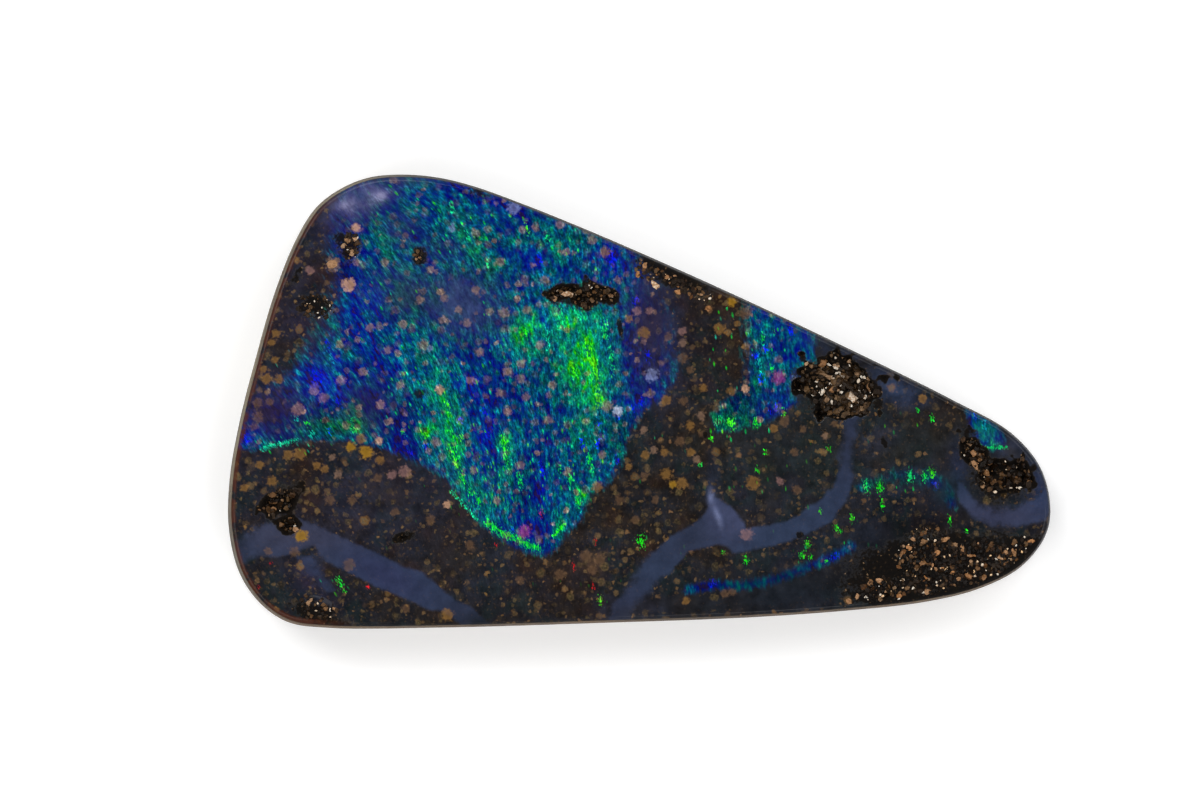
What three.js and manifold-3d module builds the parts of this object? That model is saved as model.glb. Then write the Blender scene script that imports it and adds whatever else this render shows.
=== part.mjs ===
// A polished freeform cabochon of boulder opal: precious opal and ironstone grown together in one stone.
// It lies on its flat ground back, with its low polished crown up. Its face has rough open pits, where
// loose ironstone grains show, and its wall leans in a little from a wide girdle to a rolled edge.
// Millimetres, +Z up. X runs along the length towards the narrow nose, and Y across it.
// The origin is under the middle of the outline's box, on the plane that the stone rests on.
import * as THREE from 'three';
import { mergeVertices } from 'three/addons/utils/BufferGeometryUtils.js';
import Module from 'manifold-3d';

// Driving dimensions of the body
const THICKNESS = 3.3;
const CROWN = { x: -1.8, y: -0.6 };
const CROWN_FALL = { x: 16.3, y: 9.8 }; // the face is 1 mm lower this far from the crown, growing as a square
const GIRDLE_HEIGHT = 0.7;
const WALL_MIDDLE_HEIGHT = 1.7;
const WALL_LEAN = 0.052; // how far the rim stands in from the girdle
const WALL_LEAN_SWING = 0.022; // more of it on the wide end, less at the nose
const EDGE_RADIUS = 0.08;
const BACK_EDGE_INSET = 0.38;
const BACK_BEVEL = { inset: 0.12, height: 0.2 };

// The outline at the girdle, going round against the clock from the nose
const OUTLINE = [
  [10.27, -2.65], [10.02, -1.66], [9.28, -0.79], [7.8, 0.04], [5.29, 1.28], [2.21, 2.73],
  [-0.91, 4.11], [-2.85, 4.9], [-4.15, 5.37], [-5.0, 5.58], [-5.85, 5.66], [-6.75, 5.59],
  [-7.48, 5.3], [-8.09, 4.83], [-8.59, 4.03], [-9.13, 2.68], [-9.58, 1.13], [-9.99, -0.48],
  [-10.24, -1.9], [-10.27, -3.15], [-10.0, -4.3], [-9.46, -5.08], [-8.78, -5.53], [-7.8, -5.67],
  [-4.75, -5.66], [-1.0, -5.55], [2.75, -5.41], [5.3, -5.23], [7.15, -5.02], [8.52, -4.68],
  [9.54, -4.14], [10.15, -3.36],
];

// Each pit is one or more overlapping lobes: middle, half length and half width, turn in degrees, depth
const PITS = {
  main: [
    { x: 4.78, y: 0.42, a: 0.8, b: 0.62, turn: -8, depth: 0.42 },
    { x: 5.4, y: 0.25, a: 0.62, b: 0.46, turn: 20, depth: 0.3 },
  ],
  long: [
    { x: -1.75, y: 2.64, a: 0.55, b: 0.3, turn: 12, depth: 0.34 },
    { x: -1.1, y: 2.6, a: 0.46, b: 0.2, turn: -25, depth: 0.26 },
  ],
  nose: [
    { x: 8.42, y: -1.28, a: 0.42, b: 0.26, turn: -48, depth: 0.28 },
    { x: 9.08, y: -1.85, a: 0.6, b: 0.45, turn: -15, depth: 0.4 },
  ],
  lowerRight: [
    { x: 7.2, y: -4.0, a: 0.85, b: 0.95, turn: 10, depth: 0.14 },
    { x: 8.5, y: -4.1, a: 1.05, b: 0.7, turn: 8, depth: 0.15 },
    { x: 6.1, y: -4.75, a: 0.7, b: 0.36, turn: 5, depth: 0.12 },
    { x: 9.5, y: -3.85, a: 0.6, b: 0.42, turn: 35, depth: 0.13 },
  ],
  upperLeft: [{ x: -7.2, y: 3.85, a: 0.38, b: 0.24, turn: 75, depth: 0.24 }],
  upperMiddle: [{ x: -5.52, y: 3.64, a: 0.22, b: 0.16, turn: 70, depth: 0.3 }],
  leftPatch: [{ x: -8.1, y: 2.38, a: 0.55, b: 0.34, turn: -10, depth: 0.14 }],
  left: [
    { x: -8.98, y: -2.5, a: 0.44, b: 0.25, turn: 15, depth: 0.32 },
    { x: -8.82, y: -3.1, a: 0.19, b: 0.19, turn: 0, depth: 0.2 },
  ],
  centre: [{ x: -5.5, y: 0.15, a: 0.12, b: 0.09, turn: 0, depth: 0.18 }],
  low: [{ x: -5.88, y: -3.4, a: 0.18, b: 0.12, turn: 30, depth: 0.2 }],
  lowerLeft: [{ x: -8.05, y: -5.2, a: 0.55, b: 0.34, turn: -20, depth: 0.13 }],
};

// Loose grains that stand in a pit: how many, and the smallest and largest half width
const GRAINS = {
  main: { count: 17, smallest: 0.11, largest: 0.2 },
  long: { count: 8, smallest: 0.09, largest: 0.15 },
  nose: { count: 13, smallest: 0.1, largest: 0.17 },
  lowerRight: { count: 30, smallest: 0.1, largest: 0.17 },
  upperLeft: { count: 4, smallest: 0.08, largest: 0.12 },
  leftPatch: { count: 5, smallest: 0.08, largest: 0.12 },
  left: { count: 6, smallest: 0.09, largest: 0.13 },
  lowerLeft: { count: 7, smallest: 0.08, largest: 0.13 },
};

// How finely the shapes are cut
const STEPS_ROUND = 100;
const EDGE_STEPS = 2;
const FACE_RINGS = [0.1, 0.24, 0.4, 0.58, 0.78];
const WIDE_PIT_DETAIL = 3;
const SMALL_PIT_DETAIL = 2;
const WIDE_PIT = 0.4; // half width from which a pit is cut with the finer detail
const GRAIN_DETAIL = 0;
const GOLDEN_ANGLE = Math.PI * (3 - Math.sqrt(5));

const wasm = await Module();
wasm.setup();

// A repeatable value from 0 to 1 for two numbers
function chance(a, b) {
  const wave = Math.sin(a * 12.9898 + b * 78.233) * 43758.5453;
  return wave - Math.floor(wave);
}

// The polished face: a paraboloid that falls away from the crown
function faceHeight(x, y) {
  return THICKNESS - ((x - CROWN.x) / CROWN_FALL.x) ** 2 - ((y - CROWN.y) / CROWN_FALL.y) ** 2;
}

// Points round the outline, each with the direction that faces out of the stone
function outlinePoints() {
  const points = OUTLINE.map(([x, y]) => new THREE.Vector3(x, y, 0));
  const curve = new THREE.CatmullRomCurve3(points, true, 'centripetal');
  return Array.from({ length: STEPS_ROUND }, (_, i) => {
    const along = curve.getTangentAt(i / STEPS_ROUND);
    return {
      point: curve.getPointAt(i / STEPS_ROUND),
      out: new THREE.Vector3(along.y, -along.x, 0).normalize(),
    };
  });
}

const outline = outlinePoints();

// How far a place is inside the outline, which is bulging all round
function insideBy(x, y) {
  return Math.min(...outline.map(({ point, out }) => (point.x - x) * out.x + (point.y - y) * out.y));
}

// One ring round the stone, moved in from the outline by inset(out) and lifted to height(x, y)
function ring(inset, height) {
  return outline.map(({ point, out }) => {
    const place = point.clone().addScaledVector(out, -inset(out));
    place.z = height(place.x, place.y);
    return place;
  });
}

// A closed skin over rings from the bottom to the top, with a point that closes each end
function skinOver(rings, bottom, top) {
  const corners = rings.flat();
  const n = STEPS_ROUND;
  const faces = [];
  for (let r = 0; r + 1 < rings.length; r++) {
    for (let i = 0; i < n; i++) {
      const here = r * n + i;
      const next = r * n + ((i + 1) % n);
      faces.push(here, next, next + n, here, next + n, here + n);
    }
  }
  const lowest = corners.length;
  const highest = lowest + 1;
  const lastRing = (rings.length - 1) * n;
  for (let i = 0; i < n; i++) {
    const next = (i + 1) % n;
    faces.push(lowest, next, i);
    faces.push(highest, lastRing + i, lastRing + next);
  }
  const skin = new THREE.BufferGeometry().setFromPoints([...corners, bottom, top]);
  return skin.setIndex(faces);
}

// The stone before its pits: flat back, bevel, girdle, leaning wall, rolled edge and crowned face
function body() {
  const lean = (out) => WALL_LEAN - WALL_LEAN_SWING * out.x;
  const rings = [
    ring(() => BACK_EDGE_INSET, () => 0),
    ring(() => BACK_BEVEL.inset, () => BACK_BEVEL.height),
    ring(() => 0, () => GIRDLE_HEIGHT),
    ring((out) => lean(out) / 2, () => WALL_MIDDLE_HEIGHT),
  ];
  for (let step = 0; step <= EDGE_STEPS; step++) {
    const angle = (Math.PI / 2) * (step / EDGE_STEPS);
    const inward = EDGE_RADIUS * (1 - Math.cos(angle));
    const below = EDGE_RADIUS * (1 - Math.sin(angle));
    rings.push(ring((out) => lean(out) + inward, (x, y) => faceHeight(x, y) - below));
  }
  const faceEdge = rings[rings.length - 1];
  for (const share of FACE_RINGS) {
    rings.push(faceEdge.map((edge) => {
      const place = edge.clone().lerp(new THREE.Vector3(CROWN.x, CROWN.y, 0), share);
      place.z = faceHeight(place.x, place.y);
      return place;
    }));
  }
  const bottom = new THREE.Vector3(CROWN.x, CROWN.y, 0);
  const top = new THREE.Vector3(CROWN.x, CROWN.y, THICKNESS);
  return skinOver(rings, bottom, top);
}

// A rounded lump of half sizes a, b and c, its surface pushed in and out by waves that differ with seed
function lump(a, b, c, detail, rough, seed) {
  const shape = new THREE.IcosahedronGeometry(1, detail);
  const places = shape.getAttribute('position');
  const p = new THREE.Vector3();
  for (let i = 0; i < places.count; i++) {
    p.fromBufferAttribute(places, i);
    const wave = Math.sin(4.1 * p.x + 2.3 * p.z + seed) + Math.sin(5.3 * p.y - 1.7 * p.x + 2 * seed)
      + Math.sin(3.7 * p.z + 4.4 * p.y + 3 * seed);
    p.multiplyScalar(1 + (rough * wave) / 3);
    places.setXYZ(i, p.x * a, p.y * b, p.z * c);
  }
  return shape;
}

// A closed geometry as a solid that can be joined and cut
function solid(geometry) {
  const bare = geometry.clone();
  bare.deleteAttribute('normal');
  bare.deleteAttribute('uv');
  const closed = mergeVertices(bare, 1e-5);
  return new wasm.Manifold(new wasm.Mesh({
    numProp: 3,
    vertProperties: closed.getAttribute('position').array,
    triVerts: new Uint32Array(closed.index.array),
  }));
}

// One lobe's hollow, ready to be cut out of the face
function hollow(lobe, seed) {
  const detail = lobe.b < WIDE_PIT ? SMALL_PIT_DETAIL : WIDE_PIT_DETAIL;
  const shape = lump(lobe.a, lobe.b, lobe.depth, detail, 0.2, seed);
  shape.rotateZ(THREE.MathUtils.degToRad(lobe.turn));
  shape.translate(lobe.x, lobe.y, faceHeight(lobe.x, lobe.y));
  return solid(shape);
}

// How deep a lobe is below the face at a place, 0 outside it
function depthIn(lobe, x, y) {
  const turn = THREE.MathUtils.degToRad(lobe.turn);
  const along = (x - lobe.x) * Math.cos(turn) + (y - lobe.y) * Math.sin(turn);
  const across = (y - lobe.y) * Math.cos(turn) - (x - lobe.x) * Math.sin(turn);
  return lobe.depth * Math.sqrt(Math.max(0, 1 - (along / lobe.a) ** 2 - (across / lobe.b) ** 2));
}

// The grains of one pit, in a spiral over each of its lobes, each half sunk in the floor.
// The stone's edge stays free of them.
function grainsIn(lobes, { count, smallest, largest }, seed) {
  const areas = lobes.map((lobe) => lobe.a * lobe.b);
  const whole = areas.reduce((sum, area) => sum + area, 0);
  return lobes.flatMap((lobe, k) => {
    const own = Math.max(1, Math.round((count * areas[k]) / whole));
    const turn = THREE.MathUtils.degToRad(lobe.turn);
    const made = [];
    for (let i = 0; i < own; i++) {
      const out = 0.82 * Math.sqrt((i + 0.3 + 0.5 * chance(i, seed)) / own);
      const angle = i * GOLDEN_ANGLE + 0.9 * chance(seed, i) + k;
      const along = lobe.a * out * Math.cos(angle);
      const across = lobe.b * out * Math.sin(angle);
      const x = lobe.x + along * Math.cos(turn) - across * Math.sin(turn);
      const y = lobe.y + along * Math.sin(turn) + across * Math.cos(turn);
      const size = smallest + (largest - smallest) * chance(i + k, seed + 0.5);
      if (insideBy(x, y) < size + EDGE_RADIUS) continue;
      const depth = Math.max(...lobes.map((each) => depthIn(each, x, y)));
      const shape = lump(size, 0.85 * size, 0.75 * size, GRAIN_DETAIL, 0.3, seed + i);
      shape.rotateZ(angle * 2);
      shape.translate(x, y, faceHeight(x, y) - depth);
      made.push(solid(shape));
    }
    return made;
  });
}

// The whole stone: the body, less its pits, with the grains that stand in them
function stone() {
  let made = solid(body());
  Object.values(PITS).flat().forEach((lobe, i) => {
    made = made.subtract(hollow(lobe, 1.3 * i));
  });
  Object.entries(GRAINS).forEach(([pit, amount], i) => {
    for (const grain of grainsIn(PITS[pit], amount, 2 + i)) {
      made = made.add(grain);
    }
  });
  const { vertProperties, triVerts } = made.getMesh();
  const geometry = new THREE.BufferGeometry();
  geometry.setAttribute('position', new THREE.BufferAttribute(vertProperties, 3));
  geometry.setIndex(new THREE.BufferAttribute(triVerts, 1));
  geometry.computeVertexNormals();
  return geometry;
}

const opal = new THREE.MeshStandardMaterial({ color: 0x23273a, roughness: 0.15, metalness: 0 });
const opalStone = new THREE.Mesh(stone(), opal);
opalStone.name = 'opal_stone';

const specimen = new THREE.Group();
specimen.add(opalStone);

export default specimen;
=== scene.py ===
"""A polished freeform boulder opal, lying on its flat back with its face up.

The stone is one closed surface worked out from its outline: a grid over the face, with its open pits,
and bands down the rolled edge and the wall to the flat back. Its pits hold small ironstone grains.
The colours of the face come from fields kept on the surface, such as how far a place is inside the fire
or the potch and what hue the fire has there, which the material breaks up into streaks and grains.
"""
import math

import bpy
import numpy as np
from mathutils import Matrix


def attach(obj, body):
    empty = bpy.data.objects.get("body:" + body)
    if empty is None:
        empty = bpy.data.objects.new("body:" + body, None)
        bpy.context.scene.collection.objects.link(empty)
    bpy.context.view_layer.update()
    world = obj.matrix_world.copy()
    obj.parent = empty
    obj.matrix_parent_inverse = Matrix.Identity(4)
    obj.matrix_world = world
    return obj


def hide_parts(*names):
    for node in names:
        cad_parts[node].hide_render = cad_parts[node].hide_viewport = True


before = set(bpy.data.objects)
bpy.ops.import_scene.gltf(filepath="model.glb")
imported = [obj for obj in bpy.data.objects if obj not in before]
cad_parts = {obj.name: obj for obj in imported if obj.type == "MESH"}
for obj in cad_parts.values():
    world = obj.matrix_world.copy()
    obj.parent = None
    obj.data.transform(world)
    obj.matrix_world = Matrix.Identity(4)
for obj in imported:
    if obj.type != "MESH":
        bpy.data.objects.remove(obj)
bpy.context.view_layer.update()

# Sizes in millimetres. The scene is in metres.
MM = 0.001

# The body, as the frame's solid has it
THICKNESS = 3.3
CROWN = (-1.8, -0.6)
CROWN_FALL = (16.3, 9.8)
GIRDLE_HEIGHT = 0.7
WALL_MIDDLE_HEIGHT = 1.7
WALL_TOP_HEIGHT = 2.25
WALL_LEAN = 0.052
WALL_LEAN_SWING = 0.022
EDGE_RADIUS = 0.08
BACK_EDGE_INSET = 0.38
BACK_BEVEL_INSET, BACK_BEVEL_HEIGHT = 0.12, 0.2
OUTLINE = [
    (10.27, -2.65), (10.02, -1.66), (9.28, -0.79), (7.8, 0.04), (5.29, 1.28), (2.21, 2.73),
    (-0.91, 4.11), (-2.85, 4.9), (-4.15, 5.37), (-5.0, 5.58), (-5.85, 5.66), (-6.75, 5.59),
    (-7.48, 5.3), (-8.09, 4.83), (-8.59, 4.03), (-9.13, 2.68), (-9.58, 1.13), (-9.99, -0.48),
    (-10.24, -1.9), (-10.27, -3.15), (-10.0, -4.3), (-9.46, -5.08), (-8.78, -5.53), (-7.8, -5.67),
    (-4.75, -5.66), (-1.0, -5.55), (2.75, -5.41), (5.3, -5.23), (7.15, -5.02), (8.52, -4.68),
    (9.54, -4.14), (10.15, -3.36),
]

# Where the grid over the face has its corners, on the outline, against the clock from the upper right
GRID_CORNERS = [(8.0, -0.08), (-7.95, 4.95), (-9.3, -5.2), (7.6, -4.94)]
GRID_ACROSS, GRID_UP = 430, 196

# Open pits: middle, half length, half width, turn in degrees against the clock, depth
PITS = {
    "main": [(4.78, 0.42, 0.8, 0.62, -8, 0.42), (5.4, 0.25, 0.62, 0.46, 20, 0.3)],
    "long": [
        (-1.95, 2.72, 0.36, 0.15, 14, 0.26), (-1.42, 2.56, 0.3, 0.2, -25, 0.3),
        (-0.95, 2.7, 0.36, 0.13, -20, 0.24),
    ],
    "nose": [(8.42, -1.28, 0.42, 0.26, -48, 0.28), (9.08, -1.85, 0.6, 0.45, -15, 0.4)],
    "lower right": [
        (7.2, -4.0, 0.85, 0.95, 10, 0.14), (8.5, -4.1, 1.05, 0.7, 8, 0.15),
        (6.1, -4.75, 0.7, 0.36, 5, 0.12), (9.5, -3.85, 0.6, 0.42, 35, 0.13),
    ],
    "upper left": [(-7.2, 3.85, 0.38, 0.26, 75, 0.13)],
    "upper middle": [(-5.52, 3.64, 0.2, 0.15, 70, 0.15)],
    "left patch": [(-8.1, 2.38, 0.55, 0.34, -10, 0.14)],
    "left": [(-8.98, -2.5, 0.44, 0.25, 15, 0.32), (-8.82, -3.1, 0.19, 0.19, 0, 0.2)],
    "low": [(-5.88, -3.4, 0.11, 0.05, 20, 0.17)],
    "lower left": [(-8.05, -5.2, 0.55, 0.34, -20, 0.13)],
}

# A pit less deep than this is worn smooth
SHALLOW = 0.16

# The waves that make a deep pit's edge ragged and its floor lumpy: height, size in millimetres, seed
RAGGED_EDGE = [(0.3, 0.34, 1), (0.26, 0.15, 2)]
LUMPY_FLOOR = [(0.3, 0.2, 3), (0.25, 0.1, 4)]

# How much of a deep pit its steep side takes, and how steep that is
SIDE_SHARE, SIDE_POWER = 0.45, 0.7

# Marks on the face are placed by pixels of the photograph. These are its width and its middle, its scale,
# and the pixel over the middle of the stone's outline.
PICTURE_WIDTH, PICTURE_MIDDLE = 1200, (600, 400)
PIXELS_PER_MM = 40.0
MIDDLE_PIXEL = (639.5, 401.0)

# Colours as seen on a screen
COLOURS = {
    "black brown": (17, 12, 8), "umber": (36, 28, 24), "charcoal": (33, 32, 32), "grey violet": (38, 36, 46),
    "green grey": (34, 37, 34), "blue black": (29, 34, 42), "plum": (46, 38, 60), "violet dark": (40, 36, 58),
    "teal dark": (26, 44, 52), "blue dark": (10, 40, 70), "slate": (44, 50, 70),
    "slate blue": (47, 58, 82), "violet slate": (58, 60, 80), "band blue": (48, 54, 84),
    "pale slate": (62, 68, 96), "nose slate": (56, 60, 84), "crack": (104, 112, 146),
    "lavender": (92, 92, 134), "pale lavender": (128, 128, 164), "slate violet": (50, 50, 85),
    "cloud blue": (54, 68, 112), "haze": (42, 52, 82), "grey haze": (46, 46, 54),
    "peach": (196, 152, 122), "tan": (154, 122, 100), "pink": (160, 120, 114), "ochre": (130, 95, 50),
    "gold": (150, 112, 34), "brown": (112, 84, 60),
    "pale blue": (132, 142, 190), "white blue": (164, 174, 200), "violet": (104, 84, 160),
    "magenta": (166, 70, 130), "rim tan": (144, 132, 104), "rim gold": (120, 92, 58),
    "rim dark": (28, 25, 27), "rim blue": (46, 52, 66), "rim red": (78, 38, 20),
}

# The fire's fields, as closed outlines in pixels
MAIN_FIELD = [
    (346, 186), (430, 165), (480, 176), (560, 206), (628, 240), (640, 256), (650, 285), (660, 310),
    (670, 340), (676, 372), (664, 397), (645, 408), (632, 430), (622, 458), (612, 480), (592, 492),
    (586, 505), (581, 520), (567, 533), (556, 550), (544, 556), (528, 553), (514, 548), (492, 533),
    (477, 520), (465, 505), (456, 492), (444, 477), (415, 461), (385, 448), (345, 441), (296, 441),
    (262, 450), (236, 449), (240, 420), (262, 396), (290, 376), (306, 350), (322, 330), (336, 300),
    (338, 270), (330, 245), (330, 215),
]
SECOND_FIELD = [
    (748, 299), (762, 303), (800, 322), (815, 330), (815, 366), (800, 379), (791, 392), (798, 402),
    (787, 411), (765, 423), (737, 431), (715, 431), (712, 415), (722, 402), (742, 388), (749, 360),
    (746, 330),
]
NOSE_FIELD = [
    (966, 402), (985, 414), (1003, 434), (1008, 446), (1000, 450), (984, 449), (974, 440), (968, 425),
]
LOWER_RIBBON = [(688, 590), (713, 585), (740, 586), (765, 582), (785, 576), (805, 568), (820, 562),
                (835, 556), (852, 546)]
UPPER_RIBBON = [(862, 487), (884, 479), (910, 474), (930, 477), (946, 489), (952, 504)]
RIBBON_HALF_WIDTH = 4.0

# How wide the fire's edge is in millimetres, and where it fades out over more: place and half sizes in
# pixels, turn, width
SHARP_EDGE = 0.1
SOFT_EDGES = [
    (320, 315, 46, 80, 0, 0.55), (280, 400, 60, 40, 0, 0.45), (662, 320, 34, 80, 0, 0.5),
    (640, 245, 50, 20, -25, 0.3), (744, 345, 18, 60, 0, 0.3), (612, 480, 30, 40, 0, 0.18),
    (400, 172, 110, 14, 0, 0.2), (770, 580, 100, 20, 10, 0.14), (985, 425, 40, 30, 0, 0.12),
    (910, 484, 60, 24, 0, 0.25),
]

# How the fire changes: place and half sizes in pixels, turn, hue, glow. The hue is 0 for red, 0.15 for blue,
# 0.5 for teal and 0.9 for green.
FIRE_TINTS = [
    (440, 320, 300, 220, 0, 0.41, 0.38), (365, 205, 45, 32, 0, 0.30, 0.28), (325, 225, 22, 22, 0, 0.20, 0.16),
    (383, 238, 30, 7, -73, 0.62, 0.34), (408, 196, 20, 16, 0, 0.40, 0.36), (445, 228, 26, 22, 0, 0.44, 0.30),
    (462, 180, 26, 12, 0, 0.26, 0.3), (468, 238, 26, 16, -50, 0.62, 0.36), (488, 262, 22, 12, -60, 0.62, 0.32),
    (505, 212, 30, 16, -20, 0.24, 0.3), (552, 240, 20, 16, 0, 0.55, 0.3), (585, 242, 22, 14, -20, 0.52, 0.3),
    (612, 262, 20, 18, 0, 0.17, 0.40), (535, 262, 9, 9, 0, 0.16, 0.70), (515, 285, 30, 10, 0, 0.42, 0.40),
    (345, 265, 14, 30, 0, 0.20, 0.12), (372, 296, 20, 18, 0, 0.17, 0.52), (360, 330, 26, 14, -60, 0.20, 0.46),
    (412, 300, 24, 16, 0, 0.50, 0.02), (388, 362, 24, 26, 0, 0.26, 0.42), (398, 402, 22, 20, 0, 0.56, 0.38),
    (410, 374, 34, 8, -57, 0.42, 0.6), (430, 365, 40, 14, -62, 0.62, 0.48), (452, 350, 24, 34, 0, 0.42, 0.4),
    (448, 412, 30, 14, -62, 0.74, 0.6), (462, 304, 40, 30, -15, 0.34, 0.15), (502, 375, 34, 42, 0, 0.26, 0.26),
    (472, 385, 10, 14, 0, 0.16, 0.5),
    (545, 385, 12, 44, 0, 0.40, 0.26), (525, 345, 22, 22, 0, 0.55, 0.42), (522, 330, 14, 12, 0, 0.84, 0.62),
    (572, 322, 36, 22, 0, 0.70, 0.85), (546, 316, 10, 10, 0, 0.50, 0.80), (578, 365, 34, 34, 0, 0.64, 0.42),
    (590, 362, 13, 34, 0, 0.90, 1.10), (571, 370, 8, 20, 0, 0.86, 0.70), (594, 398, 11, 18, 0, 0.92, 1.00),
    (614, 345, 12, 40, 0, 0.56, 0.36), (645, 345, 24, 60, 0, 0.13, 0.16), (642, 402, 22, 9, 20, 0.18, 0.52),
    (322, 383, 28, 18, -20, 0.155, 0.75), (334, 357, 14, 5, -60, 0.4, 0.9), (366, 405, 26, 30, 0, 0.14, 0.2),
    (330, 425, 50, 14, 0, 0.62, 0.12), (356, 420, 10, 16, 0, 0.70, 0.40), (268, 412, 36, 28, 0, 0.10, 0.14),
    (243, 438, 14, 10, 0, 0.16, 0.60), (280, 446, 22, 5, 5, 0.66, 0.50), (403, 428, 20, 26, 0, 0.20, 0.25),
    (425, 433, 10, 10, 0, 0.88, 0.60), (398, 452, 20, 9, 0, 0.17, 0.40), (456, 455, 34, 10, -75, 0.80, 0.70),
    (473, 462, 10, 26, 0, 0.46, 0.55), (487, 432, 11, 28, 0, 0.16, 0.55), (507, 446, 9, 14, 0, 0.84, 0.80),
    (507, 475, 8, 16, 0, 0.62, 0.50), (538, 435, 24, 26, 0, 0.34, 0.34), (583, 430, 14, 34, 0, 0.60, 0.26),
    (618, 435, 14, 26, 0, 0.50, 0.14), (560, 480, 24, 34, 0, 0.42, 0.36), (527, 495, 20, 18, 0, 0.40, 0.25),
    (541, 490, 8, 20, 0, 0.15, 0.45), (484, 500, 28, 12, -50, 0.55, 0.50), (535, 528, 22, 16, 0, 0.15, 0.34),
    (560, 527, 7, 10, 0, 0.84, 0.60), (583, 495, 8, 12, 0, 0.72, 0.50), (780, 345, 30, 26, 0, 0.34, 0.36),
    (802, 340, 14, 26, 0, 0.36, 0.36), (760, 355, 10, 26, 0, 0.52, 0.36), (742, 396, 22, 26, 0, 0.40, -0.04),
    (724, 418, 12, 12, 0, 0.74, 0.24), (742, 425, 22, 8, 0, 0.72, 0.20), (780, 408, 18, 12, 0, 0.26, 0.28),
    (722, 320, 18, 36, 0, 0.60, 0.12), (972, 420, 10, 14, 0, 0.34, 0.36), (988, 434, 16, 10, -40, 0.50, 0.38),
    (765, 580, 80, 22, 12, 0.4, 0.1), (828, 559, 14, 8, 0, 0.20, 0.20), (706, 586, 16, 8, 0, 0.12, 0.05),
    (905, 478, 50, 16, 0, 0.46, 0.05), (932, 484, 8, 7, 0, 0.20, 0.30), (948, 496, 9, 14, 0, 0.38, 0.0),
    (880, 496, 10, 20, 0, 0.85, -0.05),
]

# Where the streaks are faint: place and half sizes in pixels, turn, how much
CALM_PLACES = [
    (765, 578, 100, 22, 10, 1.0), (800, 340, 22, 34, 0, 0.6), (985, 430, 26, 18, 0, 0.8),
    (945, 490, 24, 24, 0, 0.7), (462, 303, 44, 30, -15, 0.8), (360, 200, 40, 30, 20, 0.8),
]

# Grey-blue potch veins, as closed outlines in pixels
MAIN_VEIN = [
    (605, 632), (612, 606), (632, 583), (643, 562), (657, 548), (673, 535), (688, 527), (704, 514),
    (710, 500), (716, 498), (731, 506), (747, 528), (765, 526), (787, 521), (797, 515), (818, 501),
    (833, 488), (840, 462), (843, 430), (840, 412), (850, 402), (867, 404), (860, 420), (852, 445),
    (853, 470), (850, 492), (843, 505), (833, 521), (818, 529), (797, 539), (777, 545), (761, 548),
    (746, 552), (733, 553), (726, 545), (715, 545), (688, 552), (673, 570), (657, 583), (647, 596),
    (635, 603), (628, 632),
]
LEFT_BAND = [
    (228, 545), (235, 540), (261, 525), (296, 517), (317, 525), (337, 535), (385, 556), (401, 566),
    (421, 572), (440, 586), (448, 595), (463, 603), (477, 611), (495, 630), (470, 632), (442, 611),
    (426, 609), (405, 598), (385, 591), (327, 562), (314, 546), (286, 556), (255, 557), (228, 570),
]
SIDE_BRANCH = [(296, 556), (307, 573), (327, 593), (335, 590), (322, 574), (312, 556)]
NOSE_BAND = [
    (957, 478), (966, 488), (972, 498), (984, 506), (1000, 510), (1020, 505), (1038, 498), (1052, 480),
    (1056, 500), (1046, 520), (1020, 527), (990, 526), (972, 516), (958, 500),
]

# How wide the veins' edge is in millimetres, and where it fades out over more, as for the fire
POTCH_EDGE = 0.07
POTCH_EDGES = [
    (640, 590, 40, 50, 0, 0.2), (848, 435, 24, 50, 0, 0.22), (240, 540, 34, 26, 0, 0.32),
    (296, 536, 30, 20, 0, 0.13), (312, 578, 24, 24, 0, 0.3), (1000, 512, 50, 20, 0, 0.2),
]

# How the potch's colour changes: place and half sizes in pixels, turn, colour
POTCH_TINTS = [
    (620, 610, 40, 40, 0, "slate"), (700, 535, 40, 20, 30, "slate"), (760, 536, 50, 20, 0, "slate blue"),
    (716, 512, 12, 26, 10, "pale slate"), (848, 440, 24, 50, 0, "slate"),
    (300, 536, 70, 22, 0, "violet slate"), (385, 575, 50, 20, -25, "band blue"),
    (463, 612, 30, 16, -30, "slate"), (1000, 515, 60, 20, 0, "nose slate"),
    (735, 520, 18, 24, 0, "pale slate"), (482, 624, 22, 12, 0, "blue black"), (236, 552, 16, 16, 0, "slate"),
]

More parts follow.
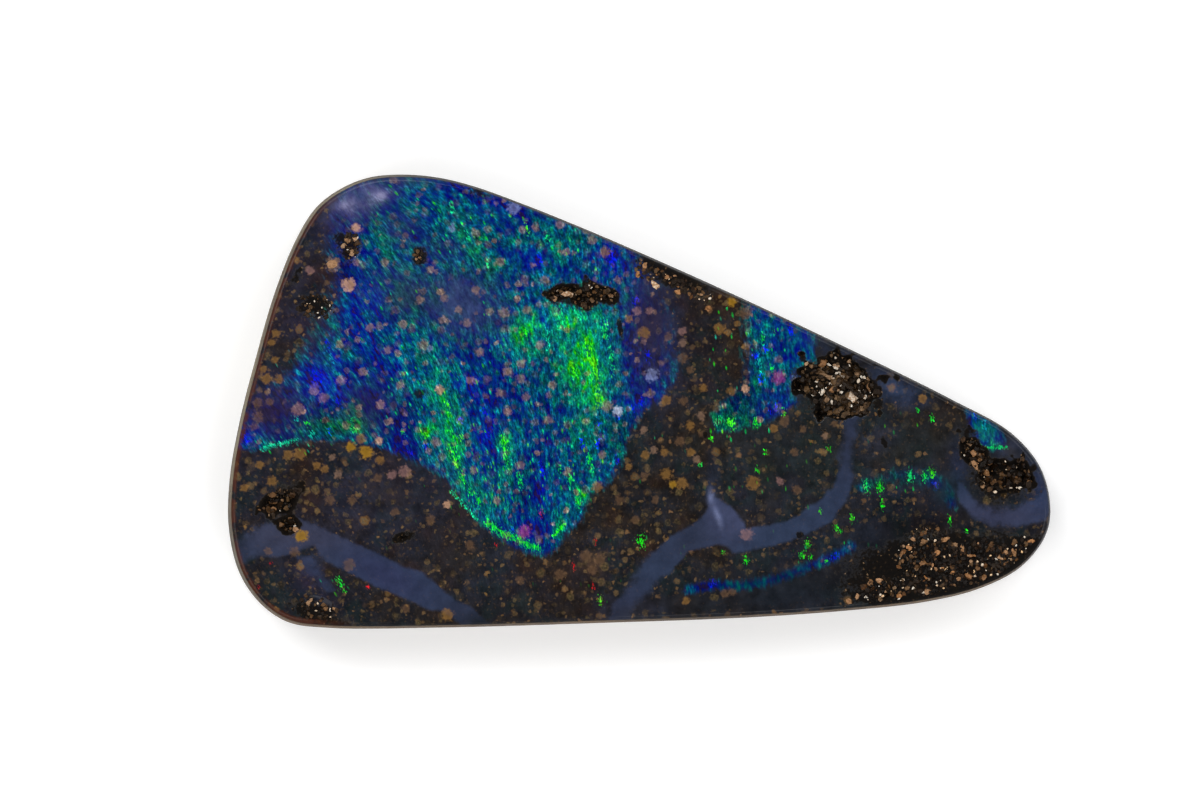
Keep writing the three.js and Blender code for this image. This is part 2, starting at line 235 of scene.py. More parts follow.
# Pale veils in the face: place and half sizes in pixels, turn, strength, colour
VEILS = [
    (360, 200, 34, 18, 25, 1.0, "lavender"), (345, 206, 9, 7, 0, 1.0, "pale lavender"),
    (380, 196, 10, 7, 20, 1.0, "pale lavender"), (361, 196, 8, 7, 0, 0.9, "cloud blue"),
    (332, 226, 22, 14, 40, 0.7, "slate violet"),
    (402, 230, 18, 18, 0, 0.5, "haze"), (460, 303, 38, 28, -15, 0.95, "cloud blue"),
    (408, 292, 36, 26, -10, 0.6, "haze"), (400, 180, 34, 8, 0, 0.6, "haze"),
    (440, 250, 30, 14, 0, 0.3, "haze"), (268, 408, 42, 26, 0, 0.75, "plum"),
    (366, 406, 26, 24, 0, 0.6, "violet dark"),
    (652, 322, 24, 60, 0, 0.95, "violet dark"), (310, 330, 24, 40, 20, 0.4, "violet dark"),
    (310, 580, 30, 16, -50, 0.5, "violet dark"),
    (835, 346, 24, 10, -25, 0.9, "blue black"), (893, 387, 28, 13, -25, 0.95, "slate blue"),
    (795, 390, 8, 12, 0, 0.4, "haze"), (1040, 480, 12, 34, 0, 0.6, "haze"),
    (1012, 452, 24, 10, -30, 0.7, "grey haze"), (958, 470, 10, 24, 0, 0.5, "haze"),
    (711, 494, 4, 13, 0, 1.0, "crack"), (718, 518, 4, 16, 18, 1.0, "crack"),
    (878, 440, 12, 20, -50, 0.35, "violet slate"), (946, 492, 12, 16, -20, 0.7, "blue dark"),
    (714, 470, 6, 26, 0, 0.35, "slate"), (592, 562, 16, 16, 0, 0.3, "brown"),
    (460, 560, 50, 30, 0, 0.25, "teal dark"), (395, 500, 60, 40, 0, 0.3, "grey haze"),
    (630, 615, 30, 16, 0, 0.5, "grey haze"), (905, 482, 44, 12, 5, 0.5, "teal dark"),
    (944, 492, 16, 18, 0, 0.45, "teal dark"), (825, 545, 40, 16, 20, 0.35, "teal dark"),
    (765, 470, 26, 50, 0, 0.3, "green grey"),
]

# The dark ground: place and half sizes in pixels, turn, colour
GROUND_TINTS = [
    (330, 500, 120, 70, 0, "grey violet"), (300, 330, 60, 80, 0, "plum"),
    (258, 400, 50, 50, 0, "violet dark"), (300, 300, 40, 24, 0, "umber"),
    (290, 350, 34, 24, 0, "charcoal"), (658, 330, 30, 70, 0, "violet dark"),
    (700, 370, 26, 50, 0, "umber"), (672, 264, 60, 16, -25, "black brown"), (480, 195, 34, 12, -20, "umber"),
    (560, 585, 70, 34, 0, "umber"), (400, 480, 40, 30, 0, "grey violet"), (640, 500, 60, 60, 0, "charcoal"),
    (760, 440, 90, 50, 0, "green grey"), (790, 595, 110, 24, 0, "blue black"),
    (890, 440, 60, 34, 0, "green grey"), (930, 500, 60, 40, 0, "blue black"),
    (880, 540, 50, 30, 0, "blue black"), (955, 575, 110, 42, 0, "black brown"),
    (915, 524, 34, 20, 0, "black brown"), (250, 600, 50, 30, 0, "charcoal"),
    (300, 480, 30, 30, 0, "umber"), (1030, 470, 30, 50, 0, "blue black"),
    (430, 600, 50, 16, 0, "charcoal"), (320, 610, 34, 16, 0, "black brown"), (700, 300, 30, 40, 0, "umber"),
]

# Where the face is smooth, with few grains: place and half sizes in pixels, turn, how much fewer
SMOOTH_PLACES = [
    (790, 590, 90, 20, 8, 0.9), (880, 550, 40, 34, 0, 0.9), (920, 450, 50, 40, 0, 0.5),
    (960, 490, 34, 30, 0, 0.8), (1010, 450, 40, 40, -40, 0.9), (850, 365, 60, 14, -25, 0.9),
    (460, 300, 34, 26, -15, 0.6), (360, 200, 40, 22, 25, 0.8), (800, 350, 20, 24, 0, 0.8),
    (420, 500, 50, 34, 0, 0.3), (680, 605, 90, 12, 0, 0.7), (317, 377, 14, 12, 0, 0.9),
    (585, 340, 30, 40, 0, 0.6), (985, 430, 24, 16, 0, 0.9), (780, 460, 70, 50, 0, 0.4),
]

# Rough ironstone at the surface: place and half sizes in pixels, turn, strength
ROUGH_PLACES = [
    (672, 276, 48, 14, -25, 1.0), (650, 262, 20, 16, -25, 0.8), (945, 572, 96, 36, 6, 1.7),
    (885, 594, 40, 14, 0, 1.3), (1010, 556, 40, 20, 20, 1.3), (316, 613, 34, 15, -20, 0.9),
    (315, 306, 26, 16, -10, 0.85), (350, 248, 14, 20, 0, 0.9), (282, 500, 22, 16, 10, 0.8),
    (996, 480, 36, 26, -20, 0.9), (482, 194, 28, 8, -20, 0.6), (836, 386, 46, 32, 0, 1.0),
    (878, 404, 8, 8, 0, 0.9), (582, 297, 38, 14, -5, 0.9), (419, 256, 10, 12, 0, 1.0),
    (340, 238, 16, 10, -20, 0.7), (296, 276, 20, 8, 60, 0.6), (705, 435, 4, 5, 0, 1.0),
    (800, 535, 6, 4, 0, 1.0), (884, 442, 3.5, 8, 20, 1.0), (620, 328, 4, 14, 10, 1.0),
    (803, 358, 5, 5, 0, 0.9), (404, 536, 9, 6, -30, 0.9),
]

# Grains that stand out in the face, by colour: place and half size in pixels
FACE_GRAINS = {
    "peach": [(349, 285, 6.5), (356, 228, 4), (745, 388, 4), (440, 390, 4.5), (379, 441, 4), (447, 505, 3.5)],
    "tan": [
        (566, 252, 4), (444, 298, 4), (459, 310, 4), (443, 320, 4), (467, 323, 4), (504, 313, 5),
        (527, 310, 4), (403, 324, 4), (423, 345, 5.5), (521, 379, 4.5), (508, 372, 4.5), (521, 364, 4),
        (436, 442, 4.5), (526, 397, 4), (499, 393, 4), (607, 406, 5.5), (702, 416, 4.5), (683, 343, 4),
        (333, 264, 7), (644, 430, 4), (697, 459, 4), (654, 450, 4), (825, 436, 3.5), (338, 475, 4.5),
        (332, 457, 4), (370, 328, 4), (385, 262, 4), (340, 345, 4), (420, 300, 4), (480, 352, 4),
        (552, 385, 4), (548, 420, 4), (474, 470, 4), (520, 465, 4), (568, 470, 3.5), (497, 500, 4),
        (602, 455, 4), (545, 280, 4), (500, 262, 4), (476, 290, 4), (430, 270, 4), (388, 350, 4),
        (362, 372, 4), (400, 385, 4),
    ],
    "pink": [
        (682, 331, 4), (637, 311, 4), (650, 311, 4), (405, 472, 6), (392, 475, 4.5), (746, 535, 6),
        (780, 481, 4), (298, 409, 6), (324, 398, 4.5), (341, 380, 4.5), (357, 262, 4), (310, 270, 4),
        (540, 345, 4), (470, 380, 4), (508, 412, 4), (380, 405, 4.5), (600, 290, 4), (560, 225, 4.5),
        (592, 240, 4.5),
    ],
    "ochre": [
        (719, 329, 5.5), (644, 333, 5.5), (629, 319, 4), (666, 400, 4.5), (690, 425, 4.5), (691, 452, 4),
        (629, 467, 4), (666, 474, 5.5), (682, 483, 5.5), (645, 455, 4), (774, 429, 4), (266, 379, 5.5),
        (263, 369, 4), (279, 379, 4), (276, 333, 4), (271, 343, 3.5), (275, 360, 3.5), (361, 439, 5),
        (317, 466, 4), (325, 469, 4), (300, 454, 6), (288, 455, 4.5), (272, 481, 5), (260, 465, 4),
        (922, 398, 4.5), (448, 615, 6), (686, 601, 3.5), (848, 600, 4), (605, 252, 5), (244, 488, 4),
        (380, 460, 4.5), (753, 483, 6.5), (597, 487, 5), (612, 300, 4), (703, 388, 4), (664, 452, 4),
        (700, 250, 4),
    ],
    "gold": [
        (366, 452, 6.5), (301, 536, 6), (732, 302, 4.5), (351, 447, 4.5), (673, 485, 4),
        (1011, 484, 3.5), (1021, 484, 3.5), (1004, 494, 3),
    ],
    "brown": [
        (690, 369, 4), (683, 358, 5), (668, 337, 4), (784, 421, 5), (803, 429, 3.5), (835, 424, 3.5),
        (746, 312, 6), (710, 309, 4), (684, 401, 4.5), (702, 434, 4), (680, 441, 4.5), (644, 476, 4),
        (257, 403, 5), (270, 402, 4), (258, 417, 5), (254, 427, 4), (326, 398, 4), (378, 478, 4.5),
        (294, 552, 5), (349, 565, 6), (268, 551, 4), (406, 609, 4.5), (600, 560, 6), (586, 556, 6),
        (592, 570, 5), (797, 490, 4.5), (794, 452, 4), (724, 594, 4), (732, 592, 4), (620, 500, 5),
        (560, 575, 5), (520, 580, 4), (470, 545, 4.5), (430, 520, 5), (352, 500, 5), (330, 500, 4.5),
        (395, 512, 4), (635, 520, 4), (655, 500, 4),
    ],
    "pale blue": [(514, 208, 6), (651, 375, 6), (430, 348, 3)],
    "white blue": [(618, 411, 4.5)],
    "black brown": [(419, 394, 5)],
    "violet": [(452, 228, 4), (314, 389, 5), (560, 300, 3)],
    "magenta": [(779, 378, 6.5), (525, 532, 6)],
}
GRAIN_STRENGTH = {
    "peach": 0.7, "brown": 0.45, "tan": 0.42, "pink": 0.42, "ochre": 0.65, "violet": 0.5, "magenta": 0.5,
    "pale blue": 0.5,
}

# Bright touches of fire: place, half length along the fibres and half width in pixels, hue
TOUCHES = [
    (589, 351, 14, 5, 0.93), (598, 398, 15, 4, 0.97), (596, 374, 12, 4, 0.95), (574, 371, 8, 3, 0.92),
    (524, 333, 8, 6, 0.90), (560, 318, 12, 5, 0.78), (548, 340, 10, 4, 0.70), (605, 330, 10, 4, 0.82),
    (578, 312, 7, 5, 0.75), (612, 360, 12, 3, 0.80), (452, 208, 5, 3, 0.75), (468, 236, 6, 3, 0.75),
    (487, 264, 5, 3, 0.78), (548, 238, 5, 4, 0.8), (527, 229, 7, 3, 0.93), (448, 406, 5, 3, 0.93),
    (461, 438, 5, 3, 0.95), (425, 436, 6, 4, 0.93),
    (456, 465, 8, 4, 0.95), (506, 443, 8, 4, 0.92), (403, 433, 4, 3, 0.90), (450, 450, 7, 3, 0.92),
    (470, 492, 6, 3, 0.88), (612, 258, 9, 6, 0.15), (540, 259, 5, 4, 0.15), (636, 301, 5, 4, 0.15),
    (648, 355, 5, 4, 0.15), (460, 419, 4, 4, 0.15), (488, 433, 6, 4, 0.15), (426, 447, 5, 3, 0.15),
    (410, 453, 4, 3, 0.15), (485, 413, 5, 4, 0.15), (542, 470, 11, 3, 0.15), (513, 531, 4, 3, 0.15),
    (598, 423, 4, 4, 0.15), (598, 444, 4, 4, 0.15), (583, 443, 5, 4, 0.15), (633, 407, 5, 3, 0.15),
    (641, 403, 4, 3, 0.15), (618, 460, 4, 3, 0.15), (618, 418, 3, 4, 0.22), (317, 377, 10, 7, 0.15),
    (338, 402, 6, 5, 0.15), (247, 440, 7, 6, 0.15), (327, 343, 6, 3, 0.17), (331, 358, 8, 3, 0.48),
    (541, 514, 4, 3, 0.04), (763, 340, 7, 3, 0.85), (774, 331, 4, 2.5, 0.75), (760, 362, 9, 3, 0.62),
    (772, 369, 4, 2.5, 0.85), (731, 423, 7, 6, 0.93), (755, 423, 5, 4, 0.9), (784, 412, 5, 3, 0.93),
    (719, 421, 5, 5, 0.80), (765, 349, 4, 4, 0.16), (791, 331, 7, 4, 0.16), (756, 356, 4, 4, 0.16),
    (776, 408, 5, 4, 0.16), (770, 413, 3, 3, 0.16), (761, 379, 5, 4, 0.20), (985, 425, 10, 3, 0.52),
    (976, 415, 8, 3, 0.24), (880, 487, 7, 5, 0.90), (866, 486, 7, 4, 0.84), (882, 504, 6, 3, 0.90),
    (852, 518, 6, 3, 0.92), (932, 473, 6, 5, 0.93), (924, 477, 5, 4, 0.86), (950, 520, 6, 2, 0.90),
    (966, 531, 3, 2, 0.90), (1029, 482, 5, 2.5, 0.92), (932, 418, 4, 3, 0.88), (918, 410, 3, 3, 0.88),
    (935, 484, 4, 4, 0.20), (713, 583, 4, 5, 0.14), (835, 557, 4, 5, 0.16), (910, 476, 8, 5, 0.80),
    (340, 583, 7, 4, 0.88), (344, 591, 3, 3, 0.90), (746, 559, 5, 4, 0.90), (723, 553, 3, 3, 0.90),
    (808, 544, 5, 4, 0.92), (802, 555, 4, 4, 0.90), (811, 557, 3, 3, 0.90), (826, 562, 3, 3, 0.92),
    (836, 527, 4, 4, 0.92), (840, 531, 3, 3, 0.90), (641, 542, 7, 6, 0.90), (600, 601, 5, 4, 0.97),
    (368, 587, 3, 2, 0.0), (271, 563, 2, 1.5, 0.0), (259, 587, 2, 1.5, 0.0), (595, 541, 4, 2, 0.0),
    (574, 566, 5, 1.5, 0.0), (593, 586, 5, 1.5, 0.0), (496, 545, 2.5, 3, 0.0), (296, 419, 4, 3, 0.62),
    (312, 435, 4, 4, 0.66), (307, 423, 4, 3, 0.90), (322, 421, 3, 3, 0.88), (353, 421, 5, 3, 0.82),
    (355, 430, 5, 4, 0.85), (330, 432, 4, 3, 0.15), (820, 511, 3, 3, 0.95), (711, 438, 3, 3, 0.92),
    (757, 470, 3, 3, 0.90), (829, 449, 4, 3, 0.92), (765, 452, 3, 3, 0.90), (700, 465, 3, 3, 0.85),
    (453, 436, 10, 4, 0.90), (455, 455, 12, 4, 0.90), (463, 478, 8, 4, 0.90), (478, 500, 8, 4, 0.90),
    (503, 440, 8, 4, 0.90), (506, 458, 11, 4, 0.88), (570, 480, 10, 4, 0.85), (520, 480, 8, 4, 0.85),
    (590, 460, 8, 4, 0.88), (578, 500, 8, 4, 0.88), (560, 470, 6, 3, 0.85),
]

# Bright lines of fire: half width in pixels, hue, the line's points
FIRE_LINES = [
    (4.0, 0.88, [(488, 523), (502, 533), (518, 539), (530, 546), (538, 548)]),
    (2.2, 0.90, [(554, 536), (563, 525)]),
    (2.4, 0.70, [(262, 449), (270, 446), (281, 444), (296, 440)]),
    (2.0, 0.80, [(974, 441), (984, 448), (1006, 447)]),
    (2.0, 0.72, [(452, 492), (464, 505), (477, 519)]),
]

# Where loose sparks show outside the fields: place and half sizes in pixels, turn, how many, hue
SPARK_PLACES = [
    (905, 484, 60, 16, 0, 0.18, 0.88), (935, 500, 26, 26, 0, 0.16, 0.7), (820, 545, 60, 24, 20, 0.16, 0.88),
    (760, 470, 60, 50, 0, 0.1, 0.9), (900, 430, 60, 30, 0, 0.09, 0.88), (600, 580, 60, 34, 0, 0.07, 0.9),
    (640, 540, 40, 30, 0, 0.1, 0.9), (340, 585, 22, 14, 0, 0.2, 0.85), (400, 500, 70, 60, 0, 0.06, 0.85),
    (500, 570, 60, 30, 0, 0.06, 0.85), (725, 345, 22, 60, 0, 0.3, 0.8), (740, 430, 40, 14, 0, 0.25, 0.9),
    (290, 430, 60, 20, 0, 0.2, 0.75), (280, 350, 40, 60, 0, 0.08, 0.5), (640, 450, 40, 40, 0, 0.09, 0.9),
    (800, 500, 60, 60, 0, 0.06, 0.88), (455, 222, 80, 36, -15, 0.3, 0.78),
    (560, 240, 50, 18, -20, 0.28, 0.78), (400, 330, 50, 60, 0, 0.2, 0.74),
    (420, 400, 60, 40, -50, 0.3, 0.8), (500, 350, 60, 60, 0, 0.22, 0.76),
    (480, 470, 60, 36, -50, 0.4, 0.86), (560, 460, 50, 60, 0, 0.32, 0.84),
    (600, 330, 30, 60, 0, 0.3, 0.84), (775, 350, 30, 40, 0, 0.26, 0.8), (280, 446, 40, 8, 0, 0.4, 0.72),
]

# The rim's colours: place and half sizes in pixels, turn, colour
RIM_TINTS = [
    (245, 380, 90, 260, 0, "rim tan"), (320, 195, 70, 60, 0, "rim tan"),
    (330, 622, 100, 30, 0, "rim gold"), (560, 625, 200, 20, 0, "rim gold"),
    (900, 600, 160, 40, 10, "rim gold"), (1050, 480, 40, 90, 0, "rim blue"),
]

# How bright a white face is under the lamps, where 1 is the brightest that a screen shows
FACE_LIGHT = 1.25


def linear(red, green, blue):
    """A colour of 0 to 255 a channel, as seen on a screen under the lamps here, as the share of light
    that a surface sends back."""
    seen = np.array([red, green, blue], float) / 255
    light = np.where(seen <= 0.04045, seen / 12.92, ((seen + 0.055) / 1.055) ** 2.4)
    return (*(light / FACE_LIGHT).tolist(), 1.0)


def face_place(x, y):
    """A pixel of the photograph as a place on the stone: x to the right and y up, from the middle."""
    return (x - MIDDLE_PIXEL[0]) / PIXELS_PER_MM, (MIDDLE_PIXEL[1] - y) / PIXELS_PER_MM


def chance(i, j, seed):
    """A repeatable value from 0 to 1 for whole numbers: the fraction of a steep sine."""
    wave = np.sin(i * 127.1 + j * 311.7 + seed * 74.7) * 43758.5453
    return wave - np.floor(wave)


def ripple(x, y, size, seed):
    """Smooth noise from -1 to 1: values at the corners of squares of this size, blended with 3t2-2t3."""
    u, v = x / size, y / size
    i, j = np.floor(u), np.floor(v)
    s, t = u - i, v - j
    s, t = s * s * (3 - 2 * s), t * t * (3 - 2 * t)
    low = chance(i, j, seed) * (1 - s) + chance(i + 1, j, seed) * s
    high = chance(i, j + 1, seed) * (1 - s) + chance(i + 1, j + 1, seed) * s
    return 2 * (low * (1 - t) + high * t) - 1


def turned(x, y, place, half_length, half_width, turn):
    """How far out a place is in an ellipse, 1 on its edge: the length of (along/a, across/b)."""
    angle = math.radians(turn)
    along = (x - place[0]) * math.cos(angle) + (y - place[1]) * math.sin(angle)
    across = (y - place[1]) * math.cos(angle) - (x - place[0]) * math.sin(angle)
    return np.hypot(along / half_length, across / half_width)


def in_pixels(x, y, pixel_x, pixel_y, half_length, half_width, turn):
    """The same, with the ellipse given in pixels."""
    return turned(x, y, face_place(pixel_x, pixel_y), half_length / PIXELS_PER_MM,
                  half_width / PIXELS_PER_MM, turn)


def blob(x, y, *ellipse):
    """A soft round patch over an ellipse given in pixels, exp(-r2)."""
    return np.exp(-in_pixels(x, y, *ellipse) ** 2)


def beside(x, y, path, closed):
    """The distance to a path of straight stretches given in pixels, and whether a place is inside it."""
    points = [face_place(*pixel) for pixel in path]
    pairs = list(zip(points, points[1:] + points[:1]))
    nearest = np.full(x.shape, 1e9)
    within = np.zeros(x.shape, bool)
    for (ax, ay), (bx, by) in pairs if closed else pairs[:-1]:
        dx, dy = bx - ax, by - ay
        share = np.clip(((x - ax) * dx + (y - ay) * dy) / (dx * dx + dy * dy), 0, 1)
        nearest = np.minimum(nearest, np.hypot(x - ax - share * dx, y - ay - share * dy))
        crossed = (ay > y) != (by > y)
        within ^= crossed & (x < dx * (y - ay) / (dy + 1e-12) + ax)
    return nearest, within


def inside(x, y, path):
    """How far a place is inside a closed outline, below 0 outside it."""
    nearest, within = beside(x, y, path, True)
    return np.where(within, nearest, -nearest)


def outline_curve(points, steps=60):
    """A smooth closed curve through the points: a cubic for each stretch, its slopes at both ends
    taken from the points on either side and the square roots of their distances. It returns a
    function of the share of the way round that gives the place and the direction that faces out."""
    corners = np.array(points)
    before, here, after, last = (np.roll(corners, k, axis=0) for k in (1, 0, -1, -2))
    near, own, far = [np.sqrt(np.linalg.norm(b - a, axis=1))[:, None]
                      for a, b in ((before, here), (here, after), (after, last))]
    start = ((here - before) / near - (after - before) / (near + own) + (after - here) / own) * own
    end = ((after - here) / own - (last - here) / (own + far) + (last - after) / far) * own
    t = np.linspace(0, 1, steps, endpoint=False)[None, :, None]
    h, a, s, e = here[:, None], after[:, None], start[:, None], end[:, None]
    curve = h + s * t + (3 * a - 3 * h - 2 * s - e) * t ** 2 + (2 * h - 2 * a + s + e) * t ** 3
    curve = curve.reshape(-1, 2)
    curve = np.vstack([curve, curve[:1]])
    length = np.concatenate([[0], np.cumsum(np.linalg.norm(np.diff(curve, axis=0), axis=1))])
    length /= length[-1]
    along = np.gradient(curve, length, axis=0)
    along[0] = along[-1] = (along[0] + along[-1]) / 2
    out = np.stack([along[:, 1], -along[:, 0]], 1)
    out /= np.linalg.norm(out, axis=1)[:, None]

    def at(share):
        share = np.mod(share, 1)
        place = np.stack([np.interp(share, length, curve[:, k]) for k in (0, 1)], -1)
        facing = np.stack([np.interp(share, length, out[:, k]) for k in (0, 1)], -1)
        return place, facing / np.linalg.norm(facing, axis=-1, keepdims=True)

    at.shares_of = [length[np.argmin(np.linalg.norm(curve - corner, axis=1))] for corner in GRID_CORNERS]
    return at


def inside_outline(x, y):
    """How far a place is inside the stone's outline, which bulges all round."""
    place, out = outline_curve(OUTLINE)(np.linspace(0, 1, 240, endpoint=False))
    nearest = np.full(x.shape, 1e9)
    for (px, py), (ox, oy) in zip(place, out):
        nearest = np.minimum(nearest, (px - x) * ox + (py - y) * oy)
    return nearest


def crown_height(x, y):
    """The polished face: a bowl turned over, lower by 1 mm at each of CROWN_FALL from the crown."""
    return THICKNESS - ((x - CROWN[0]) / CROWN_FALL[0]) ** 2 - ((y - CROWN[1]) / CROWN_FALL[1]) ** 2


def pits(x, y):
    """How far the face is sunk in its pits, with steep ragged sides and a lumpy floor, and about how far
    a place is inside a pit's edge. Shallow ones are worn smooth, with the depth of 3t2-2t3."""
    ragged = 1 + sum(height * ripple(x, y, size, seed) for height, size, seed in RAGGED_EDGE)
    lumps = sum(height * ripple(x, y, size, seed) for height, size, seed in LUMPY_FLOOR)
    depth = np.zeros(x.shape)
    within = np.full(x.shape, -1.0)
    for lobes in PITS.values():
        for px, py, half_length, half_width, turn, deep in lobes:
            out = turned(x, y, (px, py), half_length, half_width, turn)
            if deep < SHALLOW:
                bowl = np.clip(1 - out, 0, 1)
                depth = np.maximum(depth, 0.5 * deep * bowl * bowl * (3 - 2 * bowl))
                continue
            out = out * ragged
            bowl = np.clip((1 - out) / SIDE_SHARE, 0, 1) ** SIDE_POWER
            depth = np.maximum(depth, deep * bowl * (1 + lumps * bowl))
            within = np.maximum(within, (1 - out) * half_width)
    return depth, within


def stone_surface():
    """The whole skin of the stone. The face is a grid of two parameters blended between its four sides,
    bottom(u) + top(u) + left(v) + right(v) less the corners' own blend. Bands follow round it: the edge
    turned down through a quarter circle, the leaning wall, the bevel and the back."""
    at = outline_curve(OUTLINE)
    upper_right, upper_left, lower_left, lower_right = at.shares_of
    u, v = np.linspace(0, 1, GRID_ACROSS), np.linspace(0, 1, GRID_UP)
    bottom = lower_left + (lower_right - lower_left) * u
    right = lower_right + (upper_right + 1 - lower_right) * v
    top = upper_right + (upper_left - upper_right) * u[::-1]
    left = upper_left + (lower_left - upper_left) * v[::-1]
    ring_share = np.concatenate([bottom[:-1], right[:-1], top[::-1][:-1], left[::-1][:-1]])

    def ring(share, inset):
        place, out = at(share)
        lean = WALL_LEAN - WALL_LEAN_SWING * out[..., 0]
        return place - out * inset(lean)[..., None]

    face_inset = lambda lean: lean + EDGE_RADIUS
    b, r, t, l = (ring(side, face_inset) for side in (bottom, right, top, left))
    U, V = u[:, None, None], v[None, :, None]
    blend = (1 - V) * b[:, None] + V * t[:, None] + (1 - U) * l[None] + U * r[None]
    blend -= (1 - U) * (1 - V) * b[0] + U * (1 - V) * b[-1] + (1 - U) * V * t[0] + U * V * t[-1]
    face_x, face_y = blend[..., 0].ravel(), blend[..., 1].ravel()
    points = [np.stack([face_x, face_y, crown_height(face_x, face_y) - pits(face_x, face_y)[0]], 1)]
    side = [np.zeros(face_x.shape)]

    index = np.arange(GRID_ACROSS * GRID_UP).reshape(GRID_ACROSS, GRID_UP)
    quads = [np.stack([index[:-1, :-1], index[1:, :-1], index[1:, 1:], index[:-1, 1:]], -1).reshape(-1, 4)]
    upper = np.concatenate([index[:-1, 0], index[-1, :-1], index[::-1, -1][:-1], index[0, ::-1][:-1]])
    count = len(upper)

    # Each band's lower ring: how far in it is, its height or how far it is below the face, and its side
    # value, which is 0 on the face, 1 under the rounded edge, 2 at the girdle and 3 on the back
    bands = []
    for angle in (60, 30, 0):
        inward = EDGE_RADIUS * (1 - math.cos(math.radians(angle)))
        below = EDGE_RADIUS * (1 - math.sin(math.radians(angle)))
        bands.append((lambda lean, k=inward: lean + k, ("face", below), 1 - angle / 90))
    bands += [
        (lambda lean: 0.75 * lean, WALL_TOP_HEIGHT, 1.2), (lambda lean: 0.5 * lean, WALL_MIDDLE_HEIGHT, 1.5),
        (lambda lean: 0 * lean, GIRDLE_HEIGHT, 2.0),
        (lambda lean: 0 * lean + BACK_BEVEL_INSET, BACK_BEVEL_HEIGHT, 2.5),
        (lambda lean: 0 * lean + BACK_EDGE_INSET, 0.0, 3.0),
    ]
    total = len(face_x)
    for inset, height, how_far in bands:
        place = ring(ring_share, inset)
        if isinstance(height, tuple):
            sunk = pits(place[:, 0], place[:, 1])[0] * (1 - how_far)
            height = crown_height(place[:, 0], place[:, 1]) - height[1] - sunk
        points.append(np.column_stack([place, np.broadcast_to(height, count)]))
        side.append(np.full(count, how_far))
        lower = total + np.arange(count)
        quads.append(np.stack([lower, np.roll(lower, -1), np.roll(upper, -1), upper], 1))
        upper = lower
        total += count
    points.append([[CROWN[0], CROWN[1], 0.0]])
    side.append([3.0])
    fan = np.stack([np.full(count, total), np.roll(upper, -1), upper], 1)
    return np.vstack(points), np.concatenate(quads), fan, np.concatenate(side)


def add_mesh(name, points, *faces):
    """A mesh object from points in millimetres and arrays of faces."""
    mesh = bpy.data.meshes.new(name)
    mesh.from_pydata((np.asarray(points) * MM).tolist(), [], [f for part in faces for f in part.tolist()])
    mesh.validate()
    made = bpy.data.objects.new(name, mesh)
    bpy.context.scene.collection.objects.link(made)
    return made


def keep(piece, name, values):
    """Keeps one number for each point of the surface, which the material reads by this name."""
    field = piece.data.attributes.new(name, "FLOAT", "POINT")
    field.data.foreach_set("value", np.asarray(values, np.float32))


def keep_colour(piece, name, colours):
    """Keeps one colour for each point of the surface."""
    field = piece.data.attributes.new(name, "FLOAT_COLOR", "POINT")
    field.data.foreach_set("color", np.asarray(colours, np.float32).ravel())


# The fibres' lean, as x for each y beyond FIBRE_MIDDLE: more of it at the wide end
LEAN_FROM, LEAN_TO = (-6.5, 0.55), (-2.0, 0.12)
FIBRE_MIDDLE = 1.5

# A mark's field reaches this many times as far as the mark, so that points of the grid fall in it
MARK_REACH = 1.5

# The fields of the fire and the veins stop at this many widths of their own edge
FIELD_LIMIT = 5

# The fire's hue and glow where nothing below changes them, and the hue of a loose spark
PLAIN_HUE, PLAIN_GLOW, PLAIN_SPARK = 0.4, 0.3, 0.88

# How much of a grain shows in the face, unless GRAIN_STRENGTH says otherwise
PLAIN_STRENGTH = 0.85

# How much slimmer the touches of fire are than their sizes above, and the least half width in pixels
TOUCH_WIDTH, LEAST_TOUCH = 0.75, 1.8


def nearest_marks(x, y, marks):
    """For ellipses given in pixels, each with a value: how far a place is inside the one it is deepest in
    (1 in the middle, 0 at MARK_REACH times its size), and that one's value."""
    depth = np.full(x.shape, -1.0)
    value = np.zeros((len(x), np.size(marks[0][1])))
    for ellipse, own in marks:
        inner = 1 - in_pixels(x, y, *ellipse) / MARK_REACH
        closer = inner > depth
        depth[closer] = inner[closer]
        value[closer] = own
    return depth, value


def blended(x, y, base, tints):
    """A colour for each place: the base, with each tint laid over it in turn as a soft patch."""
    colour = np.tile(linear(*COLOURS[base]), (len(x), 1))
    for *place, name in tints:
        colour += (np.array(linear(*COLOURS[name])) - colour) * blob(x, y, *place)[:, None]
    return colour


def strongest(x, y, patches, base=0.0):
    """The strongest of the soft patches at each place."""
    values = [strength * blob(x, y, *place) for *place, strength in patches]
    return np.maximum.reduce(values + [np.full(x.shape, base)])


def fire_fields(piece, x, y):
    """Where the fire is, as widths of its own edge inside or outside it, and its hue and glow."""
    reach = np.maximum.reduce([inside(x, y, path) for path in (MAIN_FIELD, SECOND_FIELD, NOSE_FIELD)])
    for path in (LOWER_RIBBON, UPPER_RIBBON):
        reach = np.maximum(reach, RIBBON_HALF_WIDTH / PIXELS_PER_MM - beside(x, y, path, False)[0])
    reach = reach / strongest(x, y, SOFT_EDGES, SHARP_EDGE)
    keep(piece, "fire", np.clip(reach, -FIELD_LIMIT, FIELD_LIMIT))
    hue, glow = np.full(x.shape, PLAIN_HUE), np.full(x.shape, PLAIN_GLOW)
    for *place, tint, shine in FIRE_TINTS:
        share = blob(x, y, *place)
        hue += (tint - hue) * share
        glow += (shine - glow) * share
    keep(piece, "hue", hue)
    keep(piece, "glow", glow)


